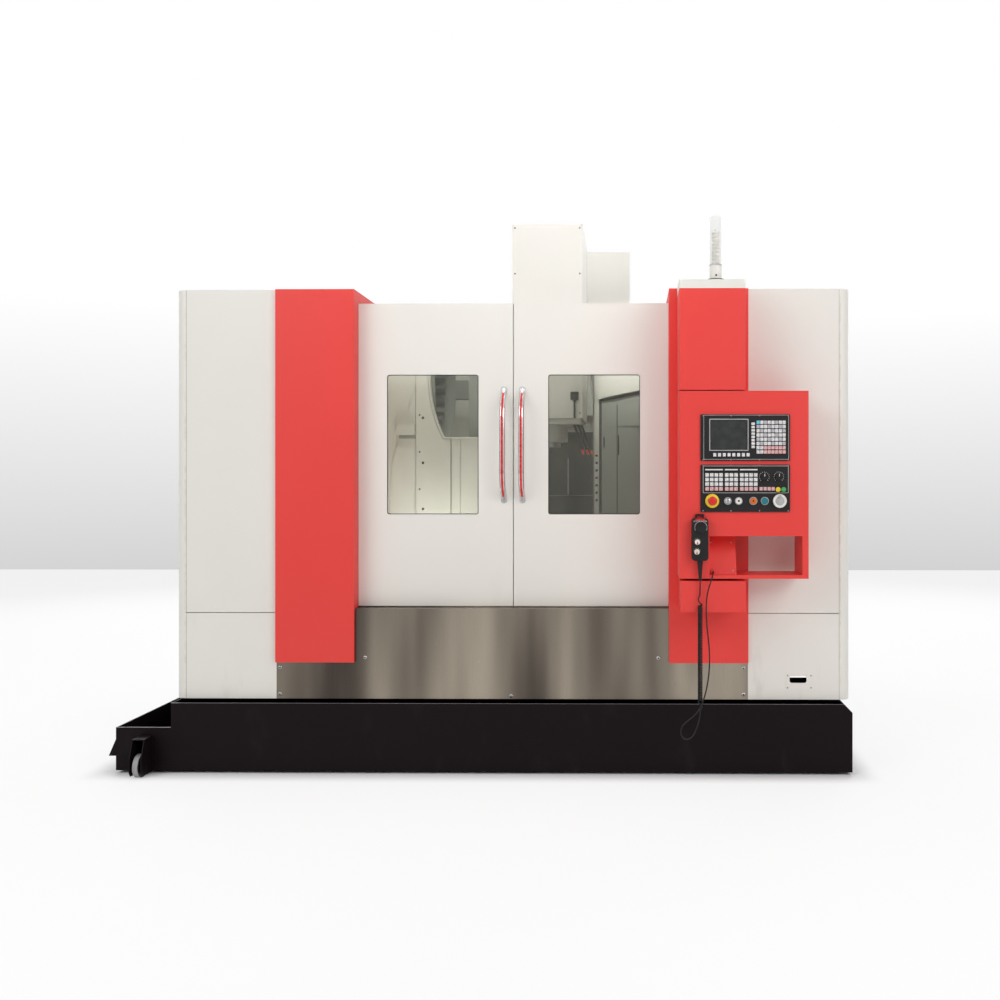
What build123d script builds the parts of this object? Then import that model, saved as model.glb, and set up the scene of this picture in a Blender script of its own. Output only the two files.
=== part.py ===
from build123d import *
import os
from math import cos, radians, sin

# A vertical machining centre with a full sheet-metal enclosure, in millimetres.
# x runs along the table's long travel, y from the operator to the back, and z up from the floor.
# x = 0 is the middle of the enclosure and y = 0 the face of its front panels. On export the machine
# is moved so that the middle of its footprint stands on the origin.

# Enclosure
ENCLOSURE_WIDTH = 3380
ENCLOSURE_DEPTH = 2150
ENCLOSURE_BOTTOM = 365
ENCLOSURE_TOP = 2413
SHEET = 4
CORNER_RADIUS = 50
PANEL_SEAM_Z = 795
SEAM_GAP = 4
PANEL_RETURN = 22

# Front: pillars, doors, windows, handles
PILLAR_WIDTH = 394
PILLAR_INNER_X = 786
PILLAR_PROUD = 20
PILLAR_BOTTOM = 549
DOOR_FACE_Y = 72
DOOR_THICKNESS = 48
DOOR_TOP = 2355
DOOR_BOTTOM = 821
DOOR_OVERLAP = 29
DOOR_MEETING_GAP = 4
WINDOW_WIDTH = 465
WINDOW_HEIGHT = 709
WINDOW_NEAR_X = 177
WINDOW_BOTTOM = 1286
WINDOW_CORNER = 12
HANDLE_X = 47
HANDLE_TOP = 1935
HANDLE_BOTTOM = 1342
HANDLE_STRAIGHT = 382
HANDLE_STANDOFF = 78
HANDLE_RADIUS = 11
HANDLE_STOP_GAP = 12

# Machine inside: axes, castings and travels
SPINDLE_X = 112
SPINDLE_Y = 1030
X_TRAVEL = 1200
Y_TRAVEL = 700
Z_TRAVEL = 650
TABLE_LENGTH = 1360
TABLE_WIDTH = 700
TABLE_TOP = 900
TABLE_THICKNESS = 95
NOSE_Z = 1660
BED_TOP = 520
BED_WIDTH = 1040
COLUMN_WIDTH = 660
COLUMN_BEHIND = 215
COLUMN_TOP = 2450
THROAT = 775
HEAD_WIDTH = 380
HEAD_COVER_WIDTH = 406
HEAD_COVER_TOP = 2945

# Coolant tank under the front
TANK_FRONT_Y = -40
TANK_DEPTH = 690
TANK_TOP = 349
TANK_BOTTOM = 14
TANK_WALL = 5
STEP_WIDTH = 275
STEP_TOP = 227

# Operator's station on the right pillar
STATION_FRONT_Y = -250
STATION_LEFT_X = 826
TOWER_WIDTH = 314
TOWER_BOTTOM = 1887
TOWER_TOP = 2369
BOX_WIDTH = 613
BOX_TOP = 1882
BOX_BOTTOM = 991
JUNCTION_TOP = 980
JUNCTION_BOTTOM = 832

# Clearances shared by several pieces, and the overrun of every cut
RUNNING = 0.1
SEAT = 0.3
OVERRUN = 10

HALF_WIDTH = ENCLOSURE_WIDTH / 2
PANEL_OUTER_X = HALF_WIDTH - CORNER_RADIUS - SHEET
PILLAR_FRONT_Y = -PILLAR_PROUD
PILLAR_OUTER_X = PILLAR_INNER_X + PILLAR_WIDTH
DOOR_BACK_Y = DOOR_FACE_Y + DOOR_THICKNESS
DOOR_OUTER_X = PILLAR_INNER_X + DOOR_OVERLAP
COLUMN_FRONT_Y = SPINDLE_Y + THROAT
COLUMN_BACK_Y = ENCLOSURE_DEPTH + COLUMN_BEHIND
DOOR_TRAVEL = PILLAR_INNER_X - HANDLE_X - HANDLE_RADIUS - HANDLE_STOP_GAP

parts = {}


def block(x0, x1, y0, y1, z0, z1):
    """A plain block between two corners."""
    middle = Pos((x0 + x1) / 2, (y0 + y1) / 2, (z0 + z1) / 2)
    return middle * Box(x1 - x0, y1 - y0, z1 - z0)


def rod(radius, start, end):
    """A round bar from one point to another."""
    start, end = Vector(*start), Vector(*end)
    along = Plane(origin=start, z_dir=end - start)
    return along * Cylinder(radius, (end - start).length, align=(Align.CENTER, Align.CENTER, Align.MIN))


def side_profile(points, x0, x1):
    """An outline in y and z, drawn out from x0 to x1."""
    face = make_face(Polyline(*[(x0, y, z) for y, z in points], close=True))
    return extrude(face, amount=x1 - x0, dir=(1, 0, 0))


def front_profile(points, y0, y1):
    """An outline in x and z, drawn out from y0 to y1."""
    face = make_face(Polyline(*[(x, y0, z) for x, z in points], close=True))
    return extrude(face, amount=y1 - y0, dir=(0, 1, 0))


def rounded_block(x0, x1, y0, y1, z0, z1, radius):
    """A block with rounded corners in the front view, also for cutting windows and slots."""
    plane = Plane(origin=((x0 + x1) / 2, y0, (z0 + z1) / 2), x_dir=(1, 0, 0), z_dir=(0, -1, 0))
    return extrude(plane * RectangleRounded(x1 - x0, z1 - z0, radius), amount=y1 - y0, dir=(0, 1, 0))


def tray(x0, x1, y0, y1, z0, z1, sheet):
    """A folded sheet tray: a face at y0 with four edges turned back to y1."""
    inner = block(x0 + sheet, x1 - sheet, y0 + sheet, y1 + OVERRUN, z0 + sheet, z1 - sheet)
    return block(x0, x1, y0, y1, z0, z1) - inner


def mirrored(shape):
    """The same piece on the other side of the enclosure's middle."""
    return mirror(shape, about=Plane.YZ)


# Front panels: two folded trays a side, the right lower one with a framed finger slot
PULL_X = 1435.5
PULL_Z = 455
PULL_PLATE_WIDTH = 133
PULL_PLATE_HEIGHT = 76
PULL_PLATE_PROUD = 3
PULL_SLOT_X = 1429.5
PULL_SLOT_Z = 465.5
PULL_SLOT_WIDTH = 85
PULL_SLOT_HEIGHT = 35


def front_panels():
    left, right = -PANEL_OUTER_X, -PILLAR_OUTER_X
    upper = tray(left, right, 0, PANEL_RETURN, PANEL_SEAM_Z + SEAM_GAP / 2, ENCLOSURE_TOP, SHEET)
    lower = tray(left, right, 0, PANEL_RETURN, ENCLOSURE_BOTTOM, PANEL_SEAM_Z - SEAM_GAP / 2, SHEET)
    plate = block(PULL_X - PULL_PLATE_WIDTH / 2, PULL_X + PULL_PLATE_WIDTH / 2, -PULL_PLATE_PROUD, 0,
                  PULL_Z - PULL_PLATE_HEIGHT / 2, PULL_Z + PULL_PLATE_HEIGHT / 2)
    slot = rounded_block(PULL_SLOT_X - PULL_SLOT_WIDTH / 2, PULL_SLOT_X + PULL_SLOT_WIDTH / 2,
                         -PULL_PLATE_PROUD - OVERRUN, SHEET + OVERRUN,
                         PULL_SLOT_Z - PULL_SLOT_HEIGHT / 2, PULL_SLOT_Z + PULL_SLOT_HEIGHT / 2,
                         PULL_SLOT_HEIGHT / 3)
    parts["panel_left_upper"] = upper
    parts["panel_left_lower"] = lower
    parts["panel_right_upper"] = mirrored(upper)
    parts["panel_right_lower"] = mirrored(lower) + plate - slot


# Side walls: one folded sheet a side, with the rounded front edge and the roof over the door pocket
ROOF_BACK_Y = 1500


GROOVE = 5
GROOVE_DEPTH = 2
SERVICE_FRONT_Y = 640
SERVICE_LENGTH = 960
SERVICE_BOTTOM = 960
SERVICE_HEIGHT = 1180
RECESS_LENGTH = 130
RECESS_HEIGHT = 50
RECESS_INSET = 70


def wall_groove(y0, y1, z0, z1):
    """A shallow cut in the outside of the left wall."""
    return block(-HALF_WIDTH - OVERRUN, -HALF_WIDTH + GROOVE_DEPTH, y0, y1, z0, z1)


def service_cover():
    """The cuts that outline the lift-off service cover in the left wall."""
    y0, y1 = SERVICE_FRONT_Y, SERVICE_FRONT_Y + SERVICE_LENGTH
    z0, z1 = SERVICE_BOTTOM, SERVICE_BOTTOM + SERVICE_HEIGHT
    cuts = wall_groove(y0, y1, z0, z1) - wall_groove(y0 + GROOVE, y1 - GROOVE, z0 + GROOVE, z1 - GROOVE)
    recess_top = z1 - RECESS_INSET
    for start in (y0 + RECESS_INSET, y1 - RECESS_INSET - RECESS_LENGTH):
        cuts += wall_groove(start, start + RECESS_LENGTH, recess_top - RECESS_HEIGHT, recess_top)
    return cuts + wall_groove(CORNER_RADIUS, ENCLOSURE_DEPTH + OVERRUN, PANEL_SEAM_Z - SEAM_GAP, PANEL_SEAM_Z)


def side_walls():
    corner_x = -HALF_WIDTH + CORNER_RADIUS
    inner_x = -HALF_WIDTH + SHEET
    inner_radius = CORNER_RADIUS - SHEET
    outline = [
        Line((-HALF_WIDTH, ENCLOSURE_DEPTH), (-HALF_WIDTH, CORNER_RADIUS)),
        CenterArc((corner_x, CORNER_RADIUS), CORNER_RADIUS, 180, 90),
        Line((corner_x, 0), (-PANEL_OUTER_X, 0)),
        Line((-PANEL_OUTER_X, 0), (-PANEL_OUTER_X, SHEET)),
        Line((-PANEL_OUTER_X, SHEET), (corner_x, SHEET)),
        CenterArc((corner_x, CORNER_RADIUS), inner_radius, 180, 90),
        Line((inner_x, CORNER_RADIUS), (inner_x, ENCLOSURE_DEPTH)),
        Line((inner_x, ENCLOSURE_DEPTH), (-HALF_WIDTH, ENCLOSURE_DEPTH)),
    ]
    height = ENCLOSURE_TOP - ENCLOSURE_BOTTOM
    wall = Pos(0, 0, ENCLOSURE_BOTTOM) * extrude(make_face(outline), amount=height, dir=(0, 0, 1))
    roof = block(-HALF_WIDTH + SHEET / 2, -PILLAR_INNER_X - SHEET, DOOR_FACE_Y, ROOF_BACK_Y,
                 ENCLOSURE_TOP - SHEET, ENCLOSURE_TOP)
    shell = wall - service_cover() + roof
    parts["side_wall_left"] = shell
    parts["side_wall_right"] = mirrored(shell)


# Rear panel: one sheet across the back, open where the column and bed come through
COLUMN_GAP = 6
ACCESS_LEFT_X = -1480
ACCESS_WIDTH = 1060
ACCESS_BOTTOM = 720
ACCESS_HEIGHT = 1420
ACCESS_PROUD = 3
PULL_LENGTH = 140
PULL_SECTION = 12
PULL_STANDOFF = 34
PULL_INSET = 110


def rear_panel():
    y0, y1 = ENCLOSURE_DEPTH - SHEET, ENCLOSURE_DEPTH
    sheet = block(-HALF_WIDTH + SHEET, HALF_WIDTH - SHEET, y0, y1, ENCLOSURE_BOTTOM, ENCLOSURE_TOP)
    column_half = COLUMN_WIDTH / 2 + COLUMN_GAP
    bed_half = BED_WIDTH / 2 + COLUMN_GAP
    sheet -= block(SPINDLE_X - column_half, SPINDLE_X + column_half, y0 - OVERRUN, y1 + OVERRUN,
                   ENCLOSURE_BOTTOM - OVERRUN, ENCLOSURE_TOP + OVERRUN)
    low = block(SPINDLE_X - bed_half, SPINDLE_X + bed_half, y0 - OVERRUN, y1 + OVERRUN,
                ENCLOSURE_BOTTOM - OVERRUN, BED_TOP + COLUMN_GAP)
    x0, x1 = ACCESS_LEFT_X, ACCESS_LEFT_X + ACCESS_WIDTH
    cover = block(x0, x1, y1, y1 + ACCESS_PROUD, ACCESS_BOTTOM, ACCESS_BOTTOM + ACCESS_HEIGHT)
    middle = ACCESS_BOTTOM + ACCESS_HEIGHT / 2
    for x in (x0 + PULL_INSET, x1 - PULL_INSET):
        cover += pull(x, y1 + ACCESS_PROUD, middle)
    parts["rear_panel"] = sheet - low + cover


def pull(x, y, z):
    """A square-section bow handle on a face that looks to the back."""
    half, thick = PULL_LENGTH / 2, PULL_SECTION
    bow = block(x - thick / 2, x + thick / 2, y, y + PULL_STANDOFF, z - half, z + half)
    return bow - block(x - thick, x + thick, y - OVERRUN, y + PULL_STANDOFF - thick, z - half + thick, z + half - thick)


# Pillars: red folded boxes either side of the doors, with a cheek that runs back over the doors
PILLAR_BACK_Y = 66
CHEEK_BACK_Y = 460
CHEEK_BOTTOM = 2362


def pillars():
    x0, x1 = -PILLAR_OUTER_X, -PILLAR_INNER_X
    body = tray(x0, x1, PILLAR_FRONT_Y, PILLAR_BACK_Y, PILLAR_BOTTOM, ENCLOSURE_TOP, SHEET)
    # The outer edge runs back only as far as the front panel beside it
    body -= block(x0 - OVERRUN, x0 + SHEET, 0, PILLAR_BACK_Y + OVERRUN, PILLAR_BOTTOM + SHEET,
                  ENCLOSURE_TOP - SHEET)
    cheek = block(x1 - SHEET, x1, PILLAR_BACK_Y, CHEEK_BACK_Y, CHEEK_BOTTOM, ENCLOSURE_TOP)
    parts["pillar_left"] = Compound([body.solid(), cheek.solid()])
    parts["pillar_right"] = Compound([mirrored(body).solid(), mirrored(cheek).solid()])


# Apron: the brushed steel sheet under the doors, with the ledge and rail that carry them
APRON_TOP = 816
APRON_LEDGE_BACK_Y = 126
APRON_HEM = 30
APRON_RAIL_WIDTH = 10


def apron():
    half = PILLAR_OUTER_X
    face = block(-half, half, 0, SHEET, ENCLOSURE_BOTTOM, APRON_TOP)
    ledge = block(-half, half, 0, APRON_LEDGE_BACK_Y, APRON_TOP - SHEET, APRON_TOP)
    hem = block(-half, half, 0, APRON_HEM, ENCLOSURE_BOTTOM, ENCLOSURE_BOTTOM + SHEET)
    rail_y = (DOOR_FACE_Y + DOOR_BACK_Y) / 2
    rail = block(-half, half, rail_y - APRON_RAIL_WIDTH / 2, rail_y + APRON_RAIL_WIDTH / 2,
                 APRON_TOP, DOOR_BOTTOM - SEAT)
    # The pillars stand in front of the sheet, which is cut away behind them
    notch = block(PILLAR_INNER_X, half + OVERRUN, -OVERRUN, PILLAR_BACK_Y + SEAT, PILLAR_BOTTOM,
                  APRON_TOP + OVERRUN)
    parts["apron"] = face + ledge + hem + rail - notch - mirrored(notch)


# Doors: folded trays with a window each, a clear pane behind it and a bow handle in front
DOOR_SKIN = 3
PANE_THICKNESS = 8
PANE_MARGIN = 25
HANDLE_BEND_RADIUS = 160
HANDLE_FOOT_RADIUS = 16
HANDLE_FOOT_THICKNESS = 5


def doors():
    x0, x1 = -DOOR_OUTER_X, -DOOR_MEETING_GAP / 2
    door = tray(x0, x1, DOOR_FACE_Y, DOOR_BACK_Y, DOOR_BOTTOM, DOOR_TOP, DOOR_SKIN)
    wx0, wx1 = -WINDOW_NEAR_X - WINDOW_WIDTH, -WINDOW_NEAR_X
    wz0, wz1 = WINDOW_BOTTOM, WINDOW_BOTTOM + WINDOW_HEIGHT
    door -= rounded_block(wx0, wx1, DOOR_FACE_Y - OVERRUN, DOOR_BACK_Y + OVERRUN, wz0, wz1, WINDOW_CORNER)
    pane_y = DOOR_FACE_Y + DOOR_SKIN
    pane = rounded_block(wx0 - PANE_MARGIN, wx1 + PANE_MARGIN, pane_y, pane_y + PANE_THICKNESS,
                         wz0 - PANE_MARGIN, wz1 + PANE_MARGIN, PANE_MARGIN)
    handle = bow_handle()
    for side, place in (("left", lambda shape: shape), ("right", mirrored)):
        parts["door_" + side] = place(door)
        parts["window_" + side] = place(pane)
        parts["handle_" + side] = place(handle)


def bow_handle():
    """A round bar that stands off the door, with slanted ends on two round feet."""
    middle = (HANDLE_TOP + HANDLE_BOTTOM) / 2
    out_y = DOOR_FACE_Y - HANDLE_STANDOFF
    foot_y = DOOR_FACE_Y - HANDLE_FOOT_THICKNESS
    points = [(-HANDLE_X, DOOR_FACE_Y, HANDLE_TOP - HANDLE_FOOT_RADIUS),
              (-HANDLE_X, out_y, middle + HANDLE_STRAIGHT / 2),
              (-HANDLE_X, out_y, middle - HANDLE_STRAIGHT / 2),
              (-HANDLE_X, DOOR_FACE_Y, HANDLE_BOTTOM + HANDLE_FOOT_RADIUS)]
    path = FilletPolyline(*points, radius=HANDLE_BEND_RADIUS)
    bar = sweep(Plane(origin=path @ 0, z_dir=path % 0) * Circle(HANDLE_RADIUS), path=path)
    # The bar's slanted ends are trimmed level with the face of the feet
    bar -= block(-HANDLE_X - HANDLE_FOOT_RADIUS, -HANDLE_X + HANDLE_FOOT_RADIUS, foot_y, DOOR_BACK_Y,
                 HANDLE_BOTTOM - HANDLE_STRAIGHT, HANDLE_TOP + HANDLE_STRAIGHT)
    for z in (HANDLE_TOP - HANDLE_FOOT_RADIUS, HANDLE_BOTTOM + HANDLE_FOOT_RADIUS):
        bar += rod(HANDLE_FOOT_RADIUS, (-HANDLE_X, foot_y - SEAT, z), (-HANDLE_X, DOOR_FACE_Y, z))
    return bar


# Door header: the beam behind the doors, with the lip that guides their top edges
HEADER_DEPTH = 40
HEADER_HEIGHT = 60
HEADER_LIP = 3
HEADER_LIP_END = 20
HEADER_LIP_FRONT_Y = 84


def door_header():
    half = HALF_WIDTH - SHEET
    guided = DOOR_OUTER_X + DOOR_TRAVEL + HEADER_LIP_END
    y0 = DOOR_BACK_Y + SEAT
    top = DOOR_TOP + SEAT + HEADER_LIP
    beam = block(-half, half, y0, y0 + HEADER_DEPTH, top - HEADER_HEIGHT, top)
    lip = block(-guided, guided, HEADER_LIP_FRONT_Y, y0, DOOR_TOP + SEAT, top)
    parts["door_header"] = beam + lip


# Inner guards: welded sheet liners either side, with sloped chip pans and the tool changer's guard
GUARD_LEFT_ROOM = 82
GUARD_RIGHT_ROOM = 58
GUARD_LEFT_X = SPINDLE_X - (TABLE_LENGTH + X_TRAVEL) / 2 - GUARD_LEFT_ROOM
GUARD_RIGHT_X = SPINDLE_X + (TABLE_LENGTH + X_TRAVEL) / 2 + GUARD_RIGHT_ROOM
GUARD_TOP = 2330
GUARD_PAN_TOP = 760
CHANGER_GUARD_Y = 600
CHANGER_GUARD_RIGHT_X = -200
CHANGER_GUARD_BOTTOM = 1230
CUTOUT_RADIUS = 800
CUTOUT_LEFT_X = -526
CUTOUT_MIDDLE_Z = 2050
CUTOUT_BOTTOM = 1703
SPLASH_Y = 1740
SPLASH_RIGHT_X = 350
SPLASH_LEFT_X = -330


def inner_guards():
    front = DOOR_BACK_Y + SEAT + HEADER_DEPTH
    back = SPLASH_Y + SHEET
    bed_left, bed_right = SPINDLE_X - BED_WIDTH / 2, SPINDLE_X + BED_WIDTH / 2
    left = block(GUARD_LEFT_X, GUARD_LEFT_X + SHEET, front, back, GUARD_PAN_TOP, GUARD_TOP)
    pan = [(GUARD_LEFT_X, GUARD_PAN_TOP), (GUARD_LEFT_X + SHEET, GUARD_PAN_TOP + SHEET),
           (bed_left, BED_TOP), (bed_left, BED_TOP - SHEET)]
    left += front_profile(pan, front, back)
    left += block(GUARD_LEFT_X, SPLASH_LEFT_X, SPLASH_Y, back, GUARD_PAN_TOP, GUARD_TOP)
    guard = block(GUARD_LEFT_X, CHANGER_GUARD_RIGHT_X, CHANGER_GUARD_Y, CHANGER_GUARD_Y + SHEET,
                  CHANGER_GUARD_BOTTOM, GUARD_TOP)
    centre_x = CUTOUT_LEFT_X + CUTOUT_RADIUS
    cut = rod(CUTOUT_RADIUS, (centre_x, CHANGER_GUARD_Y - OVERRUN, CUTOUT_MIDDLE_Z),
              (centre_x, CHANGER_GUARD_Y + SHEET + OVERRUN, CUTOUT_MIDDLE_Z))
    cut -= block(CUTOUT_LEFT_X - OVERRUN, centre_x + CUTOUT_RADIUS + OVERRUN, CHANGER_GUARD_Y - 2 * OVERRUN,
                 CHANGER_GUARD_Y + SHEET + 2 * OVERRUN, CUTOUT_MIDDLE_Z - CUTOUT_RADIUS - OVERRUN, CUTOUT_BOTTOM)
    parts["inner_guard_left"] = left + (guard - cut)
    right = block(GUARD_RIGHT_X - SHEET, GUARD_RIGHT_X, front, back, GUARD_PAN_TOP, GUARD_TOP)
    pan = [(GUARD_RIGHT_X, GUARD_PAN_TOP), (GUARD_RIGHT_X - SHEET, GUARD_PAN_TOP + SHEET),
           (bed_right, BED_TOP), (bed_right, BED_TOP - SHEET)]
    right += front_profile(pan, front, back)
    right += block(SPLASH_RIGHT_X, GUARD_RIGHT_X, SPLASH_Y, back, GUARD_PAN_TOP, GUARD_TOP)
    parts["inner_guard_right"] = right


# Bed: the base casting with its deck over the tank, Y rails and levelling feet
BED_FRONT_Y = 700
BED_DECK_FRONT_Y = 330
BED_DECK_BOTTOM = 380
BED_BOTTOM = 60
BED_POCKET_MARGIN = 70
BED_POCKET_TOP = 430
RAIL_WIDTH = 40
RAIL_HEIGHT = 30
Y_RAIL_OFFSET = 300
Y_RAIL_BACK_Y = 1640
FOOT_RADIUS = 70
FOOT_HEIGHT = 25
FOOT_STUD_RADIUS = 24
FOOT_INSET = 90


def bed():
    x0, x1 = SPINDLE_X - BED_WIDTH / 2, SPINDLE_X + BED_WIDTH / 2
    profile = [(BED_FRONT_Y, BED_BOTTOM), (COLUMN_BACK_Y, BED_BOTTOM), (COLUMN_BACK_Y, BED_TOP),
               (BED_DECK_FRONT_Y, BED_TOP), (BED_DECK_FRONT_Y, BED_DECK_BOTTOM), (BED_FRONT_Y, BED_DECK_BOTTOM)]
    casting = side_profile(profile, x0, x1)
    # Two ribbed pockets are open underneath, as in a cored casting
    middle = (BED_FRONT_Y + COLUMN_BACK_Y) / 2
    for y0, y1 in ((BED_FRONT_Y, middle), (middle, COLUMN_BACK_Y)):
        casting -= block(x0 + BED_POCKET_MARGIN, x1 - BED_POCKET_MARGIN, y0 + BED_POCKET_MARGIN,
                         y1 - BED_POCKET_MARGIN, BED_BOTTOM - OVERRUN, BED_POCKET_TOP)
    for side in (-1, 1):
        x = SPINDLE_X + side * Y_RAIL_OFFSET
        casting += block(x - RAIL_WIDTH / 2, x + RAIL_WIDTH / 2, BED_DECK_FRONT_Y, Y_RAIL_BACK_Y,
                         BED_TOP, BED_TOP + RAIL_HEIGHT)
        edge = SPINDLE_X + side * (BED_WIDTH / 2 - BED_POCKET_MARGIN / 2)
        for y in (BED_FRONT_Y + FOOT_INSET, middle, COLUMN_BACK_Y - FOOT_INSET):
            casting += rod(FOOT_STUD_RADIUS, (edge, y, 0), (edge, y, BED_BOTTOM))
            casting += rod(FOOT_RADIUS, (edge, y, 0), (edge, y, FOOT_HEIGHT))
    parts["bed"] = casting


# Column: a tapered hollow casting with the Z rails on its front
COLUMN_WALL = 45
COLUMN_TOP_DEPTH = 400
COLUMN_FLOOR = 60
Z_RAIL_OFFSET = 190
Z_RAIL_END = 100
WINDOW_CORE_WIDTH = 260
WINDOW_CORE_BOTTOM = 900
WINDOW_CORE_TOP = 1700


def column():
    x0, x1 = SPINDLE_X - COLUMN_WIDTH / 2, SPINDLE_X + COLUMN_WIDTH / 2
    profile = [(COLUMN_FRONT_Y, BED_TOP), (COLUMN_BACK_Y, BED_TOP),
               (COLUMN_FRONT_Y + COLUMN_TOP_DEPTH, COLUMN_TOP), (COLUMN_FRONT_Y, COLUMN_TOP)]
    hollow = [(COLUMN_FRONT_Y + COLUMN_WALL, BED_TOP + COLUMN_FLOOR),
              (COLUMN_BACK_Y - COLUMN_WALL, BED_TOP + COLUMN_FLOOR),
              (COLUMN_FRONT_Y + COLUMN_TOP_DEPTH - COLUMN_WALL, COLUMN_TOP - COLUMN_WALL),
              (COLUMN_FRONT_Y + COLUMN_WALL, COLUMN_TOP - COLUMN_WALL)]
    casting = side_profile(profile, x0, x1)
    casting -= side_profile(hollow, x0 + COLUMN_WALL, x1 - COLUMN_WALL)
    casting -= block(SPINDLE_X - WINDOW_CORE_WIDTH / 2, SPINDLE_X + WINDOW_CORE_WIDTH / 2,
                     COLUMN_FRONT_Y + COLUMN_WALL + OVERRUN, COLUMN_BACK_Y + OVERRUN,
                     WINDOW_CORE_BOTTOM, WINDOW_CORE_TOP)
    rail_bottom = HEAD_BOTTOM - Z_TRAVEL - Z_RAIL_END
    for side in (-1, 1):
        x = SPINDLE_X + side * Z_RAIL_OFFSET
        casting += block(x - RAIL_WIDTH / 2, x + RAIL_WIDTH / 2, COLUMN_FRONT_Y - RAIL_HEIGHT, COLUMN_FRONT_Y,
                         rail_bottom, COLUMN_TOP)
    parts["column"] = casting


# Saddle: carries the X rails, runs on the bed's Y rails, and wears the outermost Y cover
SADDLE_OVERHANG = 40
SADDLE_DEPTH = 450
SADDLE_BOTTOM = 590
SADDLE_TOP = 740
X_RAIL_OFFSET = 170
CARRIAGE_LENGTH = 110
CARRIAGE_WIDTH = 80
CARRIAGE_INSET = 10
COVER_SHEET = 3
COVER_STEP = 8
COVER_LENGTH = 270
COVER_ROOM = 13
COVER_HALF_WIDTH = 420
COVER_TOP = 600
COVER_COUNT = 4
COVER_FRONT_Y = SPINDLE_Y - (SADDLE_DEPTH + Y_TRAVEL) / 2 - COVER_LENGTH - COVER_ROOM


def carriages(x_places, y_places, x_size, y_size, z0, z1):
    """Low blocks, one at each crossing of the given places."""
    return [block(x - x_size / 2, x + x_size / 2, y - y_size / 2, y + y_size / 2, z0, z1)
            for x in x_places for y in y_places]


def y_cover(index, front):
    """One inverted tray of the telescopic cover in front of the saddle."""
    half = COVER_HALF_WIDTH + index * COVER_STEP
    top = COVER_TOP + index * COVER_STEP
    foot = BED_TOP + (SEAT if index else 0)
    shell = block(SPINDLE_X - half, SPINDLE_X + half, front, front + COVER_LENGTH, foot, top)
    return shell - block(SPINDLE_X - half + COVER_SHEET, SPINDLE_X + half - COVER_SHEET, front - OVERRUN,
                         front + COVER_LENGTH + OVERRUN, foot - OVERRUN, top - COVER_SHEET)


def saddle():
    y0, y1 = SPINDLE_Y - SADDLE_DEPTH / 2, SPINDLE_Y + SADDLE_DEPTH / 2
    half = BED_WIDTH / 2 + SADDLE_OVERHANG
    casting = block(SPINDLE_X - half, SPINDLE_X + half, y0, y1, SADDLE_BOTTOM, SADDLE_TOP)
    places_x = [SPINDLE_X + side * Y_RAIL_OFFSET for side in (-1, 1)]
    inset = CARRIAGE_LENGTH / 2 + CARRIAGE_INSET
    casting += carriages(places_x, (y0 + inset, y1 - inset), CARRIAGE_WIDTH, CARRIAGE_LENGTH,
                         BED_TOP + RAIL_HEIGHT + SEAT, SADDLE_BOTTOM)
    for side in (-1, 1):
        y = SPINDLE_Y + side * X_RAIL_OFFSET
        casting += block(SPINDLE_X - half, SPINDLE_X + half, y - RAIL_WIDTH / 2, y + RAIL_WIDTH / 2,
                         SADDLE_TOP, SADDLE_TOP + RAIL_HEIGHT)
    travelled = y0 - COVER_LENGTH - COVER_FRONT_Y
    for index in range(COVER_COUNT - 1):
        front = COVER_FRONT_Y + travelled * index / (COVER_COUNT - 1)
        parts["y_cover_%d" % (index + 1)] = y_cover(index, front)
    parts["saddle"] = casting + y_cover(COVER_COUNT - 1, y0 - COVER_LENGTH)


# Table: T-slotted, on carriages over the X rails
SLOT_COUNT = 5
SLOT_PITCH = 125
SLOT_WIDTH = 18
SLOT_NECK = 20
SLOT_FOOT_WIDTH = 32
SLOT_FOOT_HEIGHT = 14
X_CARRIAGE_SPREAD = 300


def table():
    half, deep = TABLE_LENGTH / 2, TABLE_WIDTH / 2
    bottom = TABLE_TOP - TABLE_THICKNESS
    plate = block(SPINDLE_X - half, SPINDLE_X + half, SPINDLE_Y - deep, SPINDLE_Y + deep, bottom, TABLE_TOP)
    for index in range(SLOT_COUNT):
        y = SPINDLE_Y + (index - (SLOT_COUNT - 1) / 2) * SLOT_PITCH
        neck_bottom = TABLE_TOP - SLOT_NECK
        plate -= block(SPINDLE_X - half - OVERRUN, SPINDLE_X + half + OVERRUN, y - SLOT_WIDTH / 2,
                       y + SLOT_WIDTH / 2, neck_bottom, TABLE_TOP + OVERRUN)
        plate -= block(SPINDLE_X - half - OVERRUN, SPINDLE_X + half + OVERRUN, y - SLOT_FOOT_WIDTH / 2,
                       y + SLOT_FOOT_WIDTH / 2, neck_bottom - SLOT_FOOT_HEIGHT, neck_bottom)
    places_x = [SPINDLE_X + side * X_CARRIAGE_SPREAD for side in (-1, 1)]
    places_y = [SPINDLE_Y + side * X_RAIL_OFFSET for side in (-1, 1)]
    plate += carriages(places_x, places_y, CARRIAGE_LENGTH, CARRIAGE_WIDTH,
                       SADDLE_TOP + RAIL_HEIGHT + SEAT, bottom)
    parts["table"] = plate


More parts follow.
